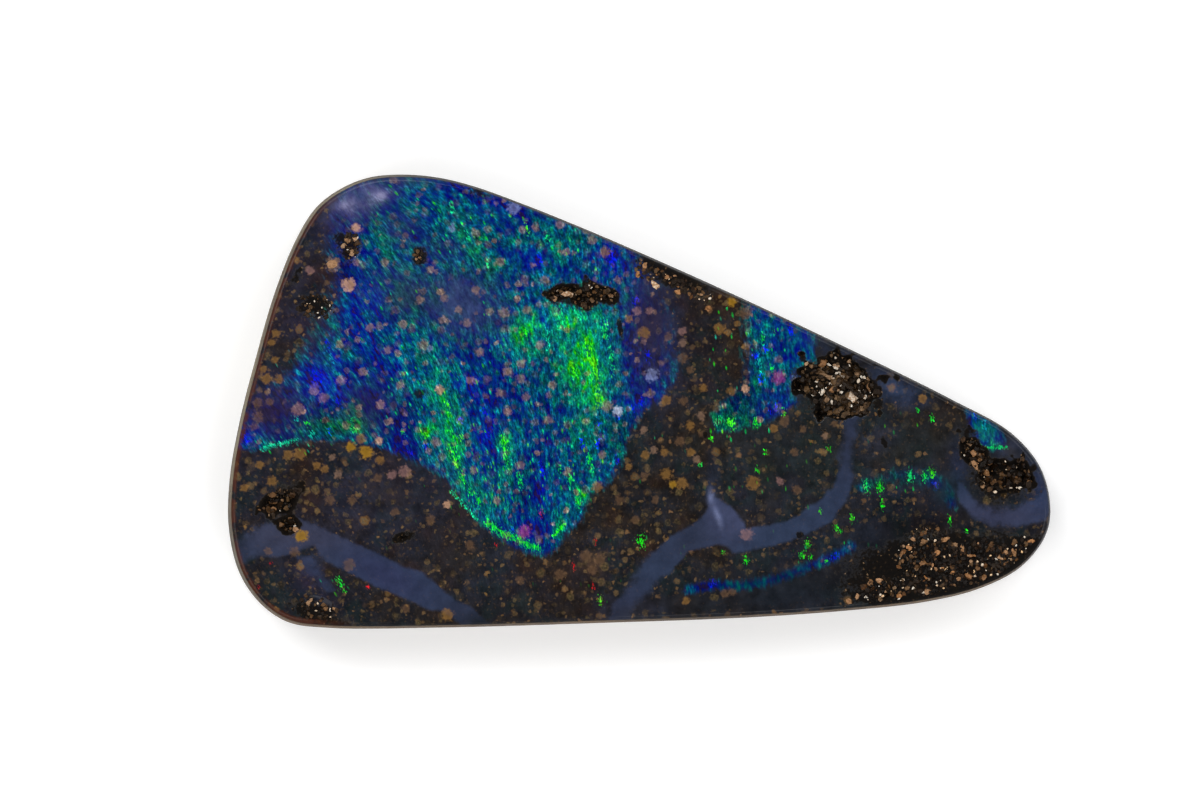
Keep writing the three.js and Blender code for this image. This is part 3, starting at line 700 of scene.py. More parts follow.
def mark_fields(piece, x, y):
    """The grains and the touches of fire that have a place of their own."""
    looks = {name: (*linear(*COLOURS[name])[:3], GRAIN_STRENGTH.get(name, PLAIN_STRENGTH))
             for name in FACE_GRAINS}
    grains = [((px, py, half, half, 0), looks[name])
              for name, places in FACE_GRAINS.items() for px, py, half in places]
    depth, colour = nearest_marks(x, y, grains)
    keep(piece, "grain", depth)
    keep_colour(piece, "grain_colour", colour)

    touches = []
    for px, py, half_length, half_width, hue in TOUCHES:
        lean = np.interp(face_place(px, py)[0], *zip(LEAN_FROM, LEAN_TO))
        half_width = max(TOUCH_WIDTH * half_width, LEAST_TOUCH)
        touches.append(((px, py, half_length, half_width, 90 + math.degrees(math.atan(lean))), hue))
    depth, hue = nearest_marks(x, y, touches)
    hue = hue[:, 0]
    for half_width, line_hue, line in FIRE_LINES:
        inner = 1 - beside(x, y, line, False)[0] * PIXELS_PER_MM / half_width / MARK_REACH
        hue = np.where(inner > depth, line_hue, hue)
        depth = np.maximum(depth, inner)
    keep(piece, "touch", depth)
    keep(piece, "touch_hue", hue)

    many, spark_hue = np.zeros(x.shape), np.full(x.shape, PLAIN_SPARK)
    for *place, amount, tint in SPARK_PLACES:
        share = blob(x, y, *place)
        many = np.maximum(many, amount * share)
        spark_hue += (tint - spark_hue) * share
    keep(piece, "sparks", many)
    keep(piece, "spark_hue", spark_hue)


def face_fields(piece, points, side):
    """Works out the fields that the face's colours come from."""
    x, y = points[:, 0], points[:, 1]
    fire_fields(piece, x, y)
    mark_fields(piece, x, y)
    veins = (MAIN_VEIN, LEFT_BAND, SIDE_BRANCH, NOSE_BAND)
    reach = np.maximum.reduce([inside(x, y, path) for path in veins])
    reach = reach / strongest(x, y, POTCH_EDGES, POTCH_EDGE)
    keep(piece, "potch", np.clip(reach, -FIELD_LIMIT, FIELD_LIMIT))
    keep_colour(piece, "potch_colour", blended(x, y, "slate blue", POTCH_TINTS))
    keep_colour(piece, "ground", blended(x, y, "charcoal", GROUND_TINTS))
    keep(piece, "veil", strongest(x, y, [(*place, strength) for *place, strength, _ in VEILS]))
    keep_colour(piece, "veil_colour", blended(x, y, "haze", [(*place, name) for *place, _, name in VEILS]))
    keep(piece, "calm", strongest(x, y, CALM_PLACES))
    keep(piece, "smooth", strongest(x, y, SMOOTH_PLACES))
    keep(piece, "rough", strongest(x, y, ROUGH_PLACES))
    keep(piece, "pit", np.where(side < 1, pits(x, y)[1], -1))
    keep(piece, "side", side)
    keep(piece, "edge", inside_outline(x, y))
    keep_colour(piece, "rim_colour", blended(x, y, "rim dark", RIM_TINTS))


class Wiring:
    """Short ways to add nodes to one material and join them."""

    def __init__(self, name):
        self.material = bpy.data.materials.new(name)
        self.material.use_nodes = True
        self.tree = self.material.node_tree
        self.tree.nodes.clear()

    def add(self, kind, values=(), **settings):
        node = self.tree.nodes.new(kind)
        for key, value in settings.items():
            setattr(node, key, value)
        for key, value in dict(values).items():
            self.feed(node.inputs[key], value)
        return node

    def feed(self, socket, value):
        if isinstance(value, bpy.types.NodeSocket):
            self.tree.links.new(value, socket)
        else:
            socket.default_value = value

    def sum(self, operation, *values, clamp=False):
        values = dict(enumerate(values))
        return self.add("ShaderNodeMath", values, operation=operation, use_clamp=clamp).outputs[0]

    def swing(self, value, gain, base):
        """base + gain (value - 0.5)."""
        return self.sum("MULTIPLY_ADD", self.sum("SUBTRACT", value, 0.5), gain, base)

    def vector(self, operation, first, second):
        return self.add("ShaderNodeVectorMath", {0: first, 1: second}, operation=operation).outputs[0]

    def scaled(self, vector, *sizes):
        """The vector with each part divided by a size of its own, or all by the same one, so that one
        step of a pattern is that size."""
        return self.vector("MULTIPLY", vector, [1 / size for size in (sizes * 3)[:3]])

    def millimetres(self):
        """The place on the piece, in millimetres."""
        return self.scaled(self.add("ShaderNodeTexCoord").outputs["Object"], MM)

    def noise(self, vector, detail=0.0, shift=0.0, roughness=0.5):
        if shift:
            vector = self.vector("ADD", vector, (shift, -shift, shift))
        values = {"Vector": vector, "Scale": 1.0, "Detail": detail, "Roughness": roughness}
        return self.add("ShaderNodeTexNoise", values).outputs["Fac"]

    def blend(self, share, first, second):
        """A number between two others."""
        node = self.add("ShaderNodeMix", {0: share}, data_type="FLOAT")
        self.feed(node.inputs[2], first)
        self.feed(node.inputs[3], second)
        return node.outputs[0]

    def step(self, value, low, high):
        """0 below low, 1 above high, smooth between them."""
        return self.add("ShaderNodeMapRange", {"Value": value, "From Min": low, "From Max": high},
                        interpolation_type="SMOOTHSTEP").outputs[0]

    def field(self, name, output="Fac"):
        return self.add("ShaderNodeAttribute", attribute_name=name).outputs[output]

    def mix(self, share, first, second):
        """A colour between two others."""
        values = {"Factor": share, 6: first, 7: second}
        return self.add("ShaderNodeMix", values, data_type="RGBA", blend_type="MIX").outputs[2]

    def shades(self, value, stops):
        """A colour for a value, from (value, colour seen) stops."""
        node = self.add("ShaderNodeValToRGB", {"Fac": value})
        ramp = node.color_ramp
        while len(ramp.elements) < len(stops):
            ramp.elements.new(1.0)
        for element, (place, colour) in zip(ramp.elements, stops):
            element.position = place
            element.color = linear(*colour)
        return node.outputs["Color"]

    def dimmed(self, colour, share):
        """The colour times a number."""
        return self.add("ShaderNodeVectorMath", {0: colour, "Scale": share}, operation="SCALE").outputs[0]

    def mottled(self, colour, value, low, high):
        """The colour made darker where the value is low: times low at 0.3 and times high at 0.7."""
        share = self.add("ShaderNodeMapRange", {"Value": value, "From Min": 0.3, "From Max": 0.7,
                                                "To Min": low, "To Max": high}).outputs[0]
        return self.dimmed(colour, share)

    def surface(self, colour, roughness, relief, strength, deep, refraction, mirror):
        """The finished material: a shiny surface with fine relief."""
        values = {"Strength": strength, "Distance": deep * MM, "Height": relief}
        bump = self.add("ShaderNodeBump", values).outputs[0]
        values = {"Base Color": colour, "Roughness": roughness, "Normal": bump, "IOR": refraction,
                  "Specular IOR Level": mirror}
        shader = self.add("ShaderNodeBsdfPrincipled", values)
        self.add("ShaderNodeOutputMaterial", {"Surface": shader.outputs[0]})
        return self.material


# What each hue of the fire looks like at middling brightness, from red through violet and blue to green
FIRE = [
    (0.0, (112, 12, 16)), (0.03, (112, 12, 16)), (0.06, (112, 24, 80)), (0.09, (36, 24, 66)),
    (0.15, (3, 9, 134)), (0.3, (3, 46, 120)), (0.45, (4, 78, 108)), (0.6, (5, 99, 96)), (0.75, (6, 115, 72)),
    (0.9, (8, 128, 12)), (1.0, (56, 132, 12)),
]
FIRE_GRAINS = [
    (0.0, (40, 36, 60)), (0.35, (80, 66, 82)), (0.65, (120, 96, 92)), (0.88, (156, 126, 108)),
    (1.0, (190, 155, 125)),
]
GROUND_GRAINS = [
    (0.0, (26, 22, 18)), (0.3, (60, 50, 38)), (0.55, (98, 82, 56)), (0.8, (140, 112, 80)),
    (1.0, (160, 110, 50)),
]
GROUND_DRIFT = [
    (0.3, (46, 30, 22)), (0.42, (34, 30, 30)), (0.52, (30, 32, 42)), (0.62, (22, 38, 42)),
    (0.72, (34, 32, 44)),
]
IRONSTONE = [
    (0.0, (9, 6, 4)), (0.4, (22, 15, 8)), (0.65, (56, 42, 26)), (0.85, (106, 82, 56)), (1.0, (184, 152, 120)),
]
# The pit grains' colours by tone. The near-white top is mostly for the tiny grains that are painted glints of
# light.
GRAVEL = [
    (0.0, (12, 8, 5)), (0.4, (40, 29, 18)), (0.7, (100, 77, 52)), (0.9, (164, 134, 106)),
    (1.0, (222, 214, 200)),
]
WALL_LAYERS = [
    (0.3, (34, 25, 18)), (0.45, (60, 45, 30)), (0.58, (90, 70, 48)), (0.72, (122, 104, 78)),
]
DUST = (112, 86, 58)

# How rough the polished face is, how much rougher bare ironstone is, and how rough the wall and the grains are
FACE_ROUGHNESS, BARE_ROUGHNESS, WALL_ROUGHNESS, GRAIN_ROUGHNESS = 0.08, 0.85, 0.6, 0.35

# Each material's fine relief, how strong and how many millimetres deep, its index of refraction, and how
# much it mirrors
STONE_SURFACE = (0.3, 0.03, 1.45, 0.12)
GRAIN_SURFACE = (0.4, 0.02, 1.5, 0.1)

# Grains of the face by the size of their cells: how rare, their least and greatest size in the cell, and
# how many of them show in the fire. Each size's cells are shifted from the last one's.
GRAIN_SIZES = [(0.4, 0.34, 0.12, 0.34, 0.8), (0.25, 0.4, 0.14, 0.4, 0.95), (0.14, 0.5, 0.18, 0.4, 0.15)]
GRAIN_SHIFT = 3.7

# The size of a grain of bare ironstone in the face, in millimetres
GRAVEL_CELL = 0.09

# How much brighter the brightest streak of fire is than the darkest, and a touch of it than the rest
STREAK_CONTRAST = 26.0
TOUCH_BRIGHTNESS = 2.3


def fibre_places(w, place):
    """Places on a grain that leans over to the wide end and wavers."""
    parts = w.add("ShaderNodeSeparateXYZ", {0: place}).outputs
    lean = w.add("ShaderNodeMapRange", {
        "Value": parts[0], "From Min": LEAN_FROM[0], "From Max": LEAN_TO[0],
        "To Min": LEAN_FROM[1], "To Max": LEAN_TO[1]}).outputs[0]
    bend = w.swing(w.noise(w.scaled(place, 0.9)), 0.12, 0.0)
    height = w.sum("SUBTRACT", parts[1], FIBRE_MIDDLE)
    across = w.sum("ADD", w.sum("MULTIPLY_ADD", height, lean, parts[0]), bend)
    return w.add("ShaderNodeCombineXYZ", {0: across, 1: parts[1], 2: parts[2]}).outputs[0]


def touches_of_fire(w, fibres, fleck, speck):
    """The touches of fire: their colour and how strong they are. Some have a place of their own, broken
    up into specks, and loose sparks are the middles of some cells."""
    cells = w.add("ShaderNodeTexVoronoi", {"Vector": w.scaled(fibres, 0.1, 0.24, 1.0), "Scale": 1.0},
                  voronoi_dimensions="2D")
    own = w.add("ShaderNodeSeparateColor", {0: cells.outputs["Color"]}).outputs
    there = w.step(w.sum("SUBTRACT", w.field("sparks"), own[0]), 0.0, 0.14)
    size = w.sum("MULTIPLY_ADD", own[1], 0.22, 0.2)
    spark = w.sum("MULTIPLY", w.step(cells.outputs["Distance"], size, 0.0), there)
    placed = w.step(w.swing(speck, 2.6, w.swing(fleck, 0.6, w.field("touch"))), 0.35, 1.0)
    hue = w.blend(w.sum("GREATER_THAN", spark, placed), w.field("touch_hue"),
                  w.swing(own[2], 0.3, w.field("spark_hue")))
    colour = w.shades(w.swing(fleck, 0.06, hue), FIRE)
    return w.dimmed(colour, TOUCH_BRIGHTNESS), w.sum("MAXIMUM", spark, placed)


def fire_layer(w, fibres, fleck):
    """The play of colour: its colour, where it is, and its hue."""
    zone = w.noise(w.scaled(fibres, 0.42, 0.7, 1.0), detail=1.0, shift=3.1)
    drift = w.noise(w.scaled(fibres, 0.19, 0.36, 1.0), detail=2.0, shift=11.7, roughness=0.6)
    hue = w.swing(zone, 0.3, w.swing(drift, 0.85, w.field("hue")))
    hue = w.sum("MAXIMUM", w.swing(fleck, 0.55, hue), 0.1)
    glow = w.sum("MULTIPLY_ADD", w.field("glow"), 1.5, 0.35)
    glow = w.sum("MAXIMUM", w.swing(zone, 0.9, glow), 0.1)
    ragged = w.swing(fleck, 2.0, w.swing(drift, 2.4, w.field("fire")))
    return w.dimmed(w.shades(hue, FIRE), glow), w.step(ragged, -0.9, 0.9), hue


def grain_layer(w, place, colour, clear, palette, grit, cell, rarity, smallest, largest, shift):
    """Lays one size of round grains over a colour: each is the middle of a cell and fades to its edge, and
    is faint or strong, reddish or olive by chance. The larger ones have a dark ring or heart."""
    moved = w.vector("ADD", place, (shift, 2 * shift, 0))
    cells = w.add("ShaderNodeTexVoronoi", {"Vector": moved, "Scale": 1 / cell}, voronoi_dimensions="2D")
    own = w.add("ShaderNodeSeparateColor", {0: cells.outputs["Color"]}).outputs
    size = w.sum("MULTIPLY_ADD", own[0], largest - smallest, smallest)
    depth = w.sum("SUBTRACT", 1.0, w.sum("DIVIDE", cells.outputs["Distance"], size))
    there = w.step(w.sum("MULTIPLY", own[1], clear), rarity, rarity + 0.06)
    tone = w.sum("FRACT", w.sum("MULTIPLY", own[1], 9.0))
    strength = w.sum("MULTIPLY_ADD", w.sum("POWER", own[2], 1.4), 0.5, 0.11)
    ring = w.sum("PINGPONG", w.sum("ADD", depth, 0.12), 0.36)
    tone = w.sum("MULTIPLY_ADD", ring, w.sum("MULTIPLY_ADD", own[0], 1.0, -0.1), w.sum("MULTIPLY", tone, 0.8))
    show = w.sum("MULTIPLY", w.sum("MULTIPLY", w.step(depth, -0.1, 0.6), there), strength)
    cast = w.mix(own[0], (1.12, 0.95, 0.9, 1.0), (0.92, 1.0, 0.84, 1.0))
    return w.mix(show, colour, w.vector("MULTIPLY", palette(w.swing(grit, 0.7, tone)), cast))


def gravel(w, place, grit):
    """Bare ironstone: small packed grains of every tone from black to pale, with dark gaps between them that
    are painted shade of the crevices.
    """
    cells = w.add("ShaderNodeTexVoronoi", {"Vector": place, "Scale": 1 / GRAVEL_CELL}, voronoi_dimensions="2D")
    own = w.add("ShaderNodeSeparateColor", {0: cells.outputs["Color"]}).outputs
    # Each grain goes black towards its cell's edge: painted shade in the crevices between the grains
    crevice_shade = w.step(cells.outputs["Distance"], 0.5, 0.1)
    tone = w.sum("MULTIPLY", w.sum("POWER", own[0], 2.2), crevice_shade)
    return w.shades(w.swing(grit, 0.7, w.sum("MULTIPLY_ADD", tone, 0.8, 0.1)), IRONSTONE)


def opal_material():
    w = Wiring("polished_boulder_opal")
    place = w.millimetres()
    fibres = fibre_places(w, place)
    mottle = w.noise(w.scaled(place, 0.34), detail=3.0, shift=5.0, roughness=0.62)
    fleck = w.noise(w.scaled(fibres, 0.09, 0.2, 1.0), detail=1.0)
    streak = w.noise(w.scaled(fibres, 0.044, 0.16, 1.0), detail=1.0, shift=7.3)
    speck = w.noise(w.scaled(fibres, 0.036, 0.065, 1.0), detail=1.0, shift=13.0)
    fire, in_fire, hue = fire_layer(w, fibres, fleck)
    touch_colour, touch = touches_of_fire(w, fibres, fleck, speck)

    # The dark ground, the fire, the veins, the veils and the touches of fire, one over the other
    drift = w.noise(w.scaled(place, 0.9), detail=2.0, shift=9.0)
    uneven = w.sum("MULTIPLY_ADD", w.field("smooth"), -0.5, 0.5)
    colour = w.mix(uneven, w.field("ground", "Color"), w.shades(drift, GROUND_DRIFT))
    colour = w.mottled(colour, mottle, 0.6, 1.4)
    colour = w.mix(in_fire, colour, fire)
    vein = w.step(w.swing(mottle, 2.0, w.field("potch")), -0.7, 0.9)
    potch = w.mottled(w.field("potch_colour", "Color"), mottle, 0.8, 1.15)
    colour = w.mix(w.sum("MULTIPLY", vein, 0.94), colour, potch)
    veil = w.sum("MULTIPLY", w.field("veil"), w.swing(mottle, 1.2, 1.0), clamp=True)
    colour = w.mix(veil, colour, w.mottled(w.field("veil_colour", "Color"), mottle, 0.7, 1.3))
    colour = w.mix(touch, colour, touch_colour)

    # Grains of ironstone under the polish, pinkish in the fire and brown elsewhere
    values = {"Vector": w.scaled(place, 0.11), "Scale": 1.0, "Detail": 1.0}
    blur = w.add("ShaderNodeTexNoise", values).outputs["Color"]
    shaken = w.vector("ADD", place, w.vector("MULTIPLY", blur, (0.13, 0.13, 0.0)))
    grit = w.noise(w.scaled(place, 0.07), detail=2.0, shift=2.0)
    clear = w.sum("MULTIPLY", w.sum("SUBTRACT", 1.0, w.field("smooth")),
                  w.sum("MULTIPLY_ADD", vein, -0.7, 1.0), clamp=True)
    palette = lambda tone: w.mix(in_fire, w.shades(tone, GROUND_GRAINS), w.shades(tone, FIRE_GRAINS))
    for number, (*sizes, in_fire_too) in enumerate(GRAIN_SIZES):
        amount = w.sum("MULTIPLY", clear, w.blend(in_fire, 0.95, in_fire_too))
        colour = grain_layer(w, shaken, colour, amount, palette, grit, *sizes, GRAIN_SHIFT * number)
    depth = w.swing(mottle, 0.7, w.swing(grit, 0.9, w.field("grain")))
    heart = w.swing(grit, 0.8, w.sum("MULTIPLY_ADD", w.step(depth, 0.5, 0.9), -0.2, 1.0))
    own = w.add("ShaderNodeAttribute", attribute_name="grain_colour").outputs
    show = w.sum("MULTIPLY", w.step(depth, 0.1, 0.62), own["Alpha"])
    colour = w.mix(show, colour, w.dimmed(own["Color"], heart))

    # Streaks run through all of it, strongest in the green fire and weakest in the veils, veins and grains
    dark_share = w.sum("MULTIPLY_ADD", w.field("smooth"), -0.2, 0.26)
    share = w.sum("MULTIPLY", w.blend(w.sum("MAXIMUM", in_fire, touch), dark_share, 1.0),
                  w.blend(w.step(hue, 0.3, 0.45), 0.55, 1.0))
    calm = w.sum("MAXIMUM", w.sum("MAXIMUM", veil, vein), w.sum("MAXIMUM", show, w.field("calm")))
    share = w.sum("MULTIPLY", share, w.sum("MULTIPLY_ADD", calm, -0.8, 1.0))
    power = w.swing(fleck, 0.75, w.swing(streak, 0.75, w.swing(speck, 0.85, 0.0)))
    power = w.sum("MULTIPLY", power, share)
    colour = w.dimmed(colour, w.sum("POWER", STREAK_CONTRAST, power))

    # Dust in the dark ground, and bare ironstone in the pits and the rough places
    dust = w.sum("MULTIPLY", w.step(grit, 0.58, 0.78), w.sum("MULTIPLY_ADD", in_fire, -0.25, 0.3))
    colour = w.mix(w.sum("MULTIPLY", dust, clear), colour, linear(*DUST))
    pit = w.step(w.swing(grit, 0.1, w.field("pit")), -0.12, -0.05)
    rough = w.step(w.swing(grit, 0.7, w.swing(mottle, 0.9, w.field("rough"))), 0.38, 0.7)
    bare = w.sum("MAXIMUM", pit, w.sum("MULTIPLY", rough, 0.94))
    colour = w.mix(bare, colour, w.dimmed(gravel(w, shaken, grit), w.blend(pit, 0.6, 1.0)))

    # The rim, the wall and the back
    side, edge = w.field("side"), w.field("edge")
    left = w.step(w.add("ShaderNodeSeparateXYZ", {0: place}).outputs[0], -7.0, -8.5)
    line = w.sum("MULTIPLY", w.step(w.swing(grit, 0.1, edge), 0.22, 0.15), left)
    line = w.sum("MULTIPLY", line, w.step(mottle, 0.36, 0.5))
    colour = w.mix(w.sum("MULTIPLY", line, 0.75), colour, linear(*COLOURS["rim red"]))
    layers = w.noise(w.scaled(place, 1.6, 1.6, 0.3), detail=4.0, shift=4.0)
    patches = w.noise(w.scaled(place, 2.4, 2.4, 1.3), detail=3.0, shift=6.0)
    rim = w.field("rim_colour", "Color")
    wall = w.mottled(rim, w.swing(grit, 0.5, layers), 0.6, 1.3)
    crust = w.step(w.swing(grit, 0.3, w.swing(layers, 1.2, patches)), 0.42, 0.6)
    pale = w.step(w.add("ShaderNodeSeparateColor", {0: rim}).outputs[0], 0.02, 0.12)
    pale = w.sum("MAXIMUM", pale, w.sum("MULTIPLY", w.step(side, 1.2, 1.6), 0.35))
    crust = w.sum("MULTIPLY", w.sum("MULTIPLY", crust, 0.85), pale)
    wall = w.mix(crust, wall, w.shades(w.swing(mottle, 0.8, layers), WALL_LAYERS))
    colour = w.mix(w.step(side, 0.6, 0.95), colour, wall)

    shine = w.sum("MULTIPLY_ADD", bare, BARE_ROUGHNESS, FACE_ROUGHNESS)
    shine = w.blend(w.step(side, 0.0, 0.3), shine, WALL_ROUGHNESS)
    rugged = w.sum("MULTIPLY_ADD", w.sum("ADD", layers, mottle), 1.5, grit)
    relief = w.blend(w.step(side, 0.9, 1.3), w.sum("MULTIPLY", grit, pit), rugged)
    return w.surface(colour, shine, relief, *STONE_SURFACE)


def grain_material():
    w = Wiring("ironstone_grain")
    place = w.millimetres()
    mottle = w.noise(w.scaled(place, 0.05), detail=2.0)
    colour = w.shades(w.swing(mottle, 0.4, w.field("tone")), GRAVEL)
    colour = w.mix(w.field("warm"), colour, w.vector("MULTIPLY", colour, (1.25, 0.86, 0.5)))
    return w.surface(colour, GRAIN_ROUGHNESS, mottle, *GRAIN_SURFACE)


# Grains in the pits: spacing and half size in millimetres, the darkest's tone and the warmest's warmth
PIT_GRAINS = {
    "main": (0.12, 0.068, 0.24, 0.25), "long": (0.1, 0.05, 0.15, 0.6), "nose": (0.11, 0.055, 0.06, 0.7),
    "lower right": (0.092, 0.046, -0.16, 1.0), "upper left": (0.11, 0.05, 0.2, 0.5),
    "upper middle": (0.09, 0.045, 0.12, 0.6), "left patch": (0.12, 0.045, 0.15, 0.6),
    "left": (0.11, 0.055, 0.12, 0.6), "low": (0.1, 0.04, 0.0, 0.6), "lower left": (0.11, 0.045, 0.05, 0.6),
}

# Grains along the rough upper edge: place and half sizes in pixels, turn, and the rest as above
EDGE_GRAINS = [(684, 285, 34, 9, -28, 0.09, 0.044, 0.16, 1.0), (648, 268, 14, 13, -28, 0.1, 0.04, 0.1, 1.0)]

# How far out grains lie in the ellipse of a shallow place and of a deep pit, whose edge is ragged
SHALLOW_SPREAD, DEEP_SPREAD = 0.93, 1.4

# Grains of note in the pits: place and half sizes in pixels, turn, tone, warmth
NOTED_GRAINS = [
    (841, 377, 8, 4.5, 10, 0.97, 0.1), (852, 398, 5.5, 6, 0, 0.93, 0.1), (831, 390, 5, 5, 0, 0.85, 0.7),
    (822, 363, 5.5, 4.5, 20, 0.72, 0.7), (836, 366, 4, 3.5, 0, 0.88, 0.2), (870, 387, 4, 4, 0, 0.72, 0.5),
    (568, 295, 7, 4, -20, 0.9, 0.3), (602, 296, 4, 3, 0, 0.72, 0.5), (655, 285, 6, 3.5, -35, 0.92, 0.4),
    (678, 292, 3.5, 3, 0, 0.85, 0.8), (645, 266, 3, 3.5, 0, 0.82, 0.6), (708, 309, 4, 3, 30, 0.75, 0.9),
    (923, 541, 3.5, 3, 0, 0.78, 0.4), (946, 539, 4.5, 2.5, 20, 0.84, 0.6), (879, 580, 4, 3, 0, 0.85, 0.5),
    (870, 584, 4, 2.5, -40, 0.76, 0.4), (857, 596, 2.5, 4, 0, 0.84, 0.4), (899, 596, 3, 3, 0, 0.8, 0.9),
    (927, 592, 4.5, 3, 15, 0.84, 0.4), (968, 576, 5, 3, -40, 0.8, 0.7), (984, 577, 3, 4, 0, 0.76, 0.6),
    (1001, 558, 4, 2.5, -15, 0.86, 0.4), (1031, 541, 4, 3.5, 0, 0.82, 0.9), (1014, 554, 3, 3, 0, 0.8, 0.5),
    (962, 548, 2.5, 3.5, 0, 0.82, 0.6), (923, 562, 5, 3.5, -20, 0.74, 0.6), (973, 556, 3.5, 2.5, 0, 0.8, 0.8),
    (849, 601, 4, 3, 0, 0.8, 0.6), (333, 264, 7, 5, 20, 0.85, 0.4), (348, 240, 4, 3.5, 0, 0.76, 0.4),
    (352, 252, 4, 3, 0, 0.84, 0.3),
]

# The seed of the grains' random draws, the share of tiny grains painted as glints, and the tone of the palest
# of the rest
GRAIN_SEED, PAINTED_GLINT_SHARE, PALEST_TONE = 8, 0.1, 0.88

# How far inside a deep pit's edge a grain's middle has to be, and how far its tip is from the stone's edge
PIT_MARGIN, RIM_MARGIN = -0.02, 0.12

# How far a grain's middle stands up in a deep pit or is sunk anywhere else, by its half width. A place is
# in a deep pit if it is this far inside its edge.
STANDING, SUNK, IN_PIT = 0.1, -0.15, -0.05

# The polish cuts the grains flat this far above the face, in millimetres
PROUD = 0.01

# How each grain's ball is divided, and how much each wave changes its radius
GRAIN_RINGS, GRAIN_SPOKES, GRAIN_WAVE = 3, 7, 0.2


def scattered_grains(rng):
    """The grains' places, half sizes, turns, tones and warmth: first the ones spread by chance over the
    pits and the rough edge, then the ones of note. None lies over the stone's own edge."""
    patches = [(*lobe, *PIT_GRAINS[name]) for name in PIT_GRAINS for lobe in PITS[name]]
    patches += [(*face_place(px, py), a / PIXELS_PER_MM, b / PIXELS_PER_MM, turn, 0.0, *rest)
                for px, py, a, b, turn, *rest in EDGE_GRAINS]
    places, looks = [], []
    for px, py, half_length, half_width, turn, deep, spacing, half, darkest, warmest in patches:
        limit = SHALLOW_SPREAD if deep < SHALLOW else DEEP_SPREAD
        reach = limit * max(half_length, half_width)
        steps = np.arange(-reach, reach, spacing)
        gx, gy = (grid.ravel() for grid in np.meshgrid(px + steps, py + steps))
        gx = gx + rng.uniform(-0.5, 0.5, gx.size) * spacing
        gy = gy + rng.uniform(-0.5, 0.5, gy.size) * spacing
        size = half * rng.uniform(0.5, 1.4, gx.size) ** 1.3
        good = turned(gx, gy, (px, py), half_length, half_width, turn) < limit
        if deep >= SHALLOW:
            good &= pits(gx, gy)[1] > PIT_MARGIN
        places.append(np.stack([gx, gy, size * rng.uniform(1.0, 1.6, gx.size), size], 1)[good])
        looks.append(np.tile((darkest, warmest), (good.sum(), 1)))
    spread, (darkest, warmest) = np.vstack(places), np.vstack(looks).T
    tone = darkest + (PALEST_TONE - darkest) * rng.uniform(0, 1, len(spread)) ** 2.2
    warm = warmest * rng.uniform(0, 1, len(spread))
    # Tiny grains of the palest tone at half size: painted glints, light mirrored in the pits
    painted_glint = rng.uniform(0, 1, len(spread)) < PAINTED_GLINT_SHARE
    tone[painted_glint] = 1.0
    spread[painted_glint, 2:] *= 0.5
    angle = rng.uniform(0, 2 * math.pi, len(spread))
    noted = np.array(NOTED_GRAINS)
    spot = np.stack(face_place(noted[:, 0], noted[:, 1]), 1)
    spread = np.vstack([spread, np.hstack([spot, noted[:, 2:4] / PIXELS_PER_MM])])
    angle = np.concatenate([angle, np.radians(noted[:, 4])])
    tone, warm = np.concatenate([tone, noted[:, 5]]), np.concatenate([warm, noted[:, 6]])
    free = inside_outline(spread[:, 0], spread[:, 1]) > spread[:, 2] + RIM_MARGIN
    return spread[free].T, angle[free], tone[free], warm[free]


def pit_grains():
    """Small angular grains that stand in the pits, joined in one mesh. Each is a ball of two angles, its
    radius changed by sine waves that differ with the grain, squashed and turned its own way, and cut flat
    where it would stand above the polished face."""
    rng = np.random.default_rng(GRAIN_SEED)
    (gx, gy, long_, wide), angle, tone, warm = scattered_grains(rng)
    n = len(gx)
    sunk, within = pits(gx, gy)
    gz = crown_height(gx, gy) - sunk + np.where(within > IN_PIT, STANDING, SUNK) * wide

    polar = np.linspace(0, math.pi, GRAIN_RINGS + 2)[1:-1]
    round_ = np.linspace(0, 2 * math.pi, GRAIN_SPOKES, endpoint=False)
    p, q = (g.ravel() for g in np.meshgrid(polar, round_, indexing="ij"))
    ball = np.stack([np.sin(p) * np.cos(q), np.sin(p) * np.sin(q), np.cos(p)], 1)
    ball = np.vstack([ball, [[0, 0, 1], [0, 0, -1]]])
    phase = rng.uniform(0, 2 * math.pi, (n, 3, 1))
    x, y, z = ball.T
    wave = (np.sin(3.1 * x + 2 * z + phase[:, 0]) + np.sin(3.7 * y - 2 * x + phase[:, 1])
            + np.sin(2.9 * z + 3 * y + phase[:, 2]))
    shape = ball[None] * (1 + GRAIN_WAVE * wave)[..., None]
    shape = shape * np.stack([long_, wide, 0.7 * wide], 1)[:, None]
    c, s = np.cos(angle)[:, None], np.sin(angle)[:, None]
    turned_x = shape[..., 0] * c - shape[..., 1] * s + gx[:, None]
    turned_y = shape[..., 0] * s + shape[..., 1] * c + gy[:, None]
    polished = crown_height(turned_x, turned_y) + PROUD
    points = np.stack([turned_x, turned_y, np.minimum(shape[..., 2] + gz[:, None], polished)], -1)

    corner = np.arange(GRAIN_RINGS * GRAIN_SPOKES).reshape(GRAIN_RINGS, GRAIN_SPOKES)
    beyond = np.roll(corner, -1, axis=1)
    quads = np.stack([corner[1:], beyond[1:], beyond[:-1], corner[:-1]], -1).reshape(-1, 4)
    north, south = len(ball) - 2, len(ball) - 1
    caps = np.vstack([
        np.stack([np.full(GRAIN_SPOKES, north), corner[0], beyond[0]], 1),
        np.stack([np.full(GRAIN_SPOKES, south), beyond[-1], corner[-1]], 1),
    ])
    shift = (np.arange(n) * len(ball))[:, None, None]
    made = add_mesh("ironstone_grains", points.reshape(-1, 3), (quads[None] + shift).reshape(-1, 4),
                    (caps[None] + shift).reshape(-1, 3))
    keep(made, "tone", np.repeat(tone, len(ball)))
    keep(made, "warm", np.repeat(warm, len(ball)))
    return made


